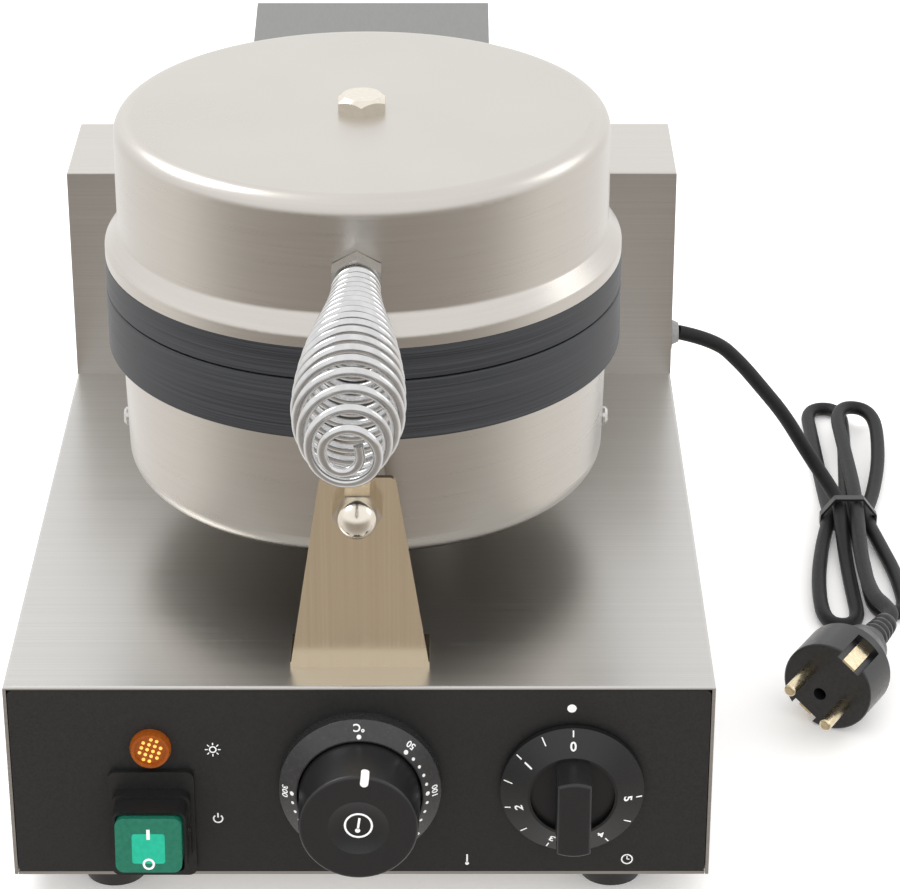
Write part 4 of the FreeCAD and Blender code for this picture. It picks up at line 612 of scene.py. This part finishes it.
def sleeve_ribs():
    """Ribbed sleeve on the plug's tail."""
    mesh = bmesh.new()
    verts = [mesh.verts.new((radius, 0.0, along)) for along, radius in sleeve_profile()]
    edges = [mesh.edges.new(pair) for pair in zip(verts, verts[1:])]
    bmesh.ops.spin(mesh, geom=verts + edges, cent=(0, 0, 0), axis=(0, 0, 1), angle=math.tau, steps=32,
                   use_merge=True)
    bmesh.ops.remove_doubles(mesh, verts=mesh.verts, dist=0.001)
    bmesh.ops.recalc_face_normals(mesh, faces=mesh.faces)
    turn = (-PLUG_WAY).to_track_quat("Z", "Y").to_matrix().to_4x4()
    start = SLEEVE_END + PLUG_WAY * SLEEVE_LENGTH
    bmesh.ops.transform(mesh, matrix=Matrix.Translation(start) @ turn, verts=mesh.verts)
    item = piece_from("plug_tail", mesh, PLUG, "base", smooth=True)
    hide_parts("plug_sleeve")
    return item


# Camera: its place in metres, how far it looks down and aside in degrees, and its lens in millimetres
CAMERA_PLACE = (0.0311, -1.089, 0.6666)
CAMERA_DOWN = 26.19
CAMERA_ASIDE = -0.044
SENSOR_WIDTH = 36.0
FOCAL_LENGTH = 129.59


def make_camera():
    """A camera at the photograph's viewing angle."""
    lens = bpy.data.cameras.new("view")
    lens.sensor_width = SENSOR_WIDTH
    lens.lens = FOCAL_LENGTH
    camera = bpy.data.objects.new("view", lens)
    camera.location = CAMERA_PLACE
    camera.rotation_euler = (math.radians(90 - CAMERA_DOWN), 0.0, math.radians(CAMERA_ASIDE))
    bpy.context.collection.objects.link(camera)
    bpy.context.scene.camera = camera


def area_light(name, place, target, size, power):
    """A square soft box that looks at a point."""
    light = bpy.data.lights.new(name, "AREA")
    light.size = size
    light.energy = power
    item = bpy.data.objects.new(name, light)
    item.location = place
    item.rotation_euler = (Vector(target) - Vector(place)).to_track_quat("-Z", "Y").to_euler()
    bpy.context.collection.objects.link(item)


# Room: colours from before the object to behind it, which turn to white over the horizon
ROOM = [
    (0.05, (0.34, 0.31, 0.28)),
    (0.25, (0.46, 0.43, 0.40)),
    (0.50, (0.86, 0.83, 0.80)),
    (0.90, (0.92, 0.91, 0.90)),
]
HORIZON = (-0.05, 0.30)
ROOM_STRENGTH = 1.27
PURE_WHITE = (1.0, 1.0, 1.0, 1.0)


def make_room():
    """Soft light from all round, dimmer from before the object."""
    world = bpy.data.worlds.new("studio")
    world.use_nodes = True
    sky = world.node_tree
    aim = sky.nodes.new("ShaderNodeTexCoord")
    split = sky.nodes.new("ShaderNodeSeparateXYZ")
    sky.links.new(aim.outputs["Generated"], split.inputs["Vector"])
    depth = carried(sky, split.outputs["Y"], (-1.0, 1.0))
    rise = carried(sky, split.outputs["Z"], HORIZON)
    blend = sky.nodes.new("ShaderNodeMixRGB")
    blend.inputs["Color2"].default_value = PURE_WHITE
    sky.links.new(rise, blend.inputs["Fac"])
    sky.links.new(ramp(sky, depth, ROOM), blend.inputs["Color1"])
    background = sky.nodes["Background"]
    background.inputs["Strength"].default_value = ROOM_STRENGTH
    sky.links.new(blend.outputs["Color"], background.inputs["Color"])
    bpy.context.scene.world = world
    bpy.context.scene.view_settings.view_transform = "Standard"


# Floor: half its width in metres
FLOOR_REACH = 6.0


def make_floor():
    """A pale floor that gives off a little light and isn't seen in reflections."""
    sheet = bpy.data.meshes.new("floor")
    corners = [(x * FLOOR_REACH, y * FLOOR_REACH, 0) for x, y in ((-1, -1), (1, -1), (1, 1), (-1, 1))]
    sheet.from_pydata(corners, [], [(0, 1, 2, 3)])
    finish = shade("floor", Base_Color=(0.93, 0.92, 0.91, 1.0), Roughness=0.8, Emission_Color=PURE_WHITE,
                   Emission_Strength=0.2)
    sheet.materials.append(finish)
    floor = bpy.data.objects.new("floor", sheet)
    floor.visible_glossy = False
    bpy.context.collection.objects.link(floor)


dress_nodes()
make_cord(sleeve_ribs())
thermostat_scale()
thermostat_pointer()
timer_marks()
panel_signs()
lamp_beads()
rocker_marks()

make_camera()
area_light("key", place=(-0.9, 0.5, 1.4), target=(0, 0.05, 0.1), size=0.7, power=8)
area_light("side", place=(1.3, 0.4, 0.9), target=(0, 0, 0.1), size=0.6, power=1.5)
make_room()
make_floor()
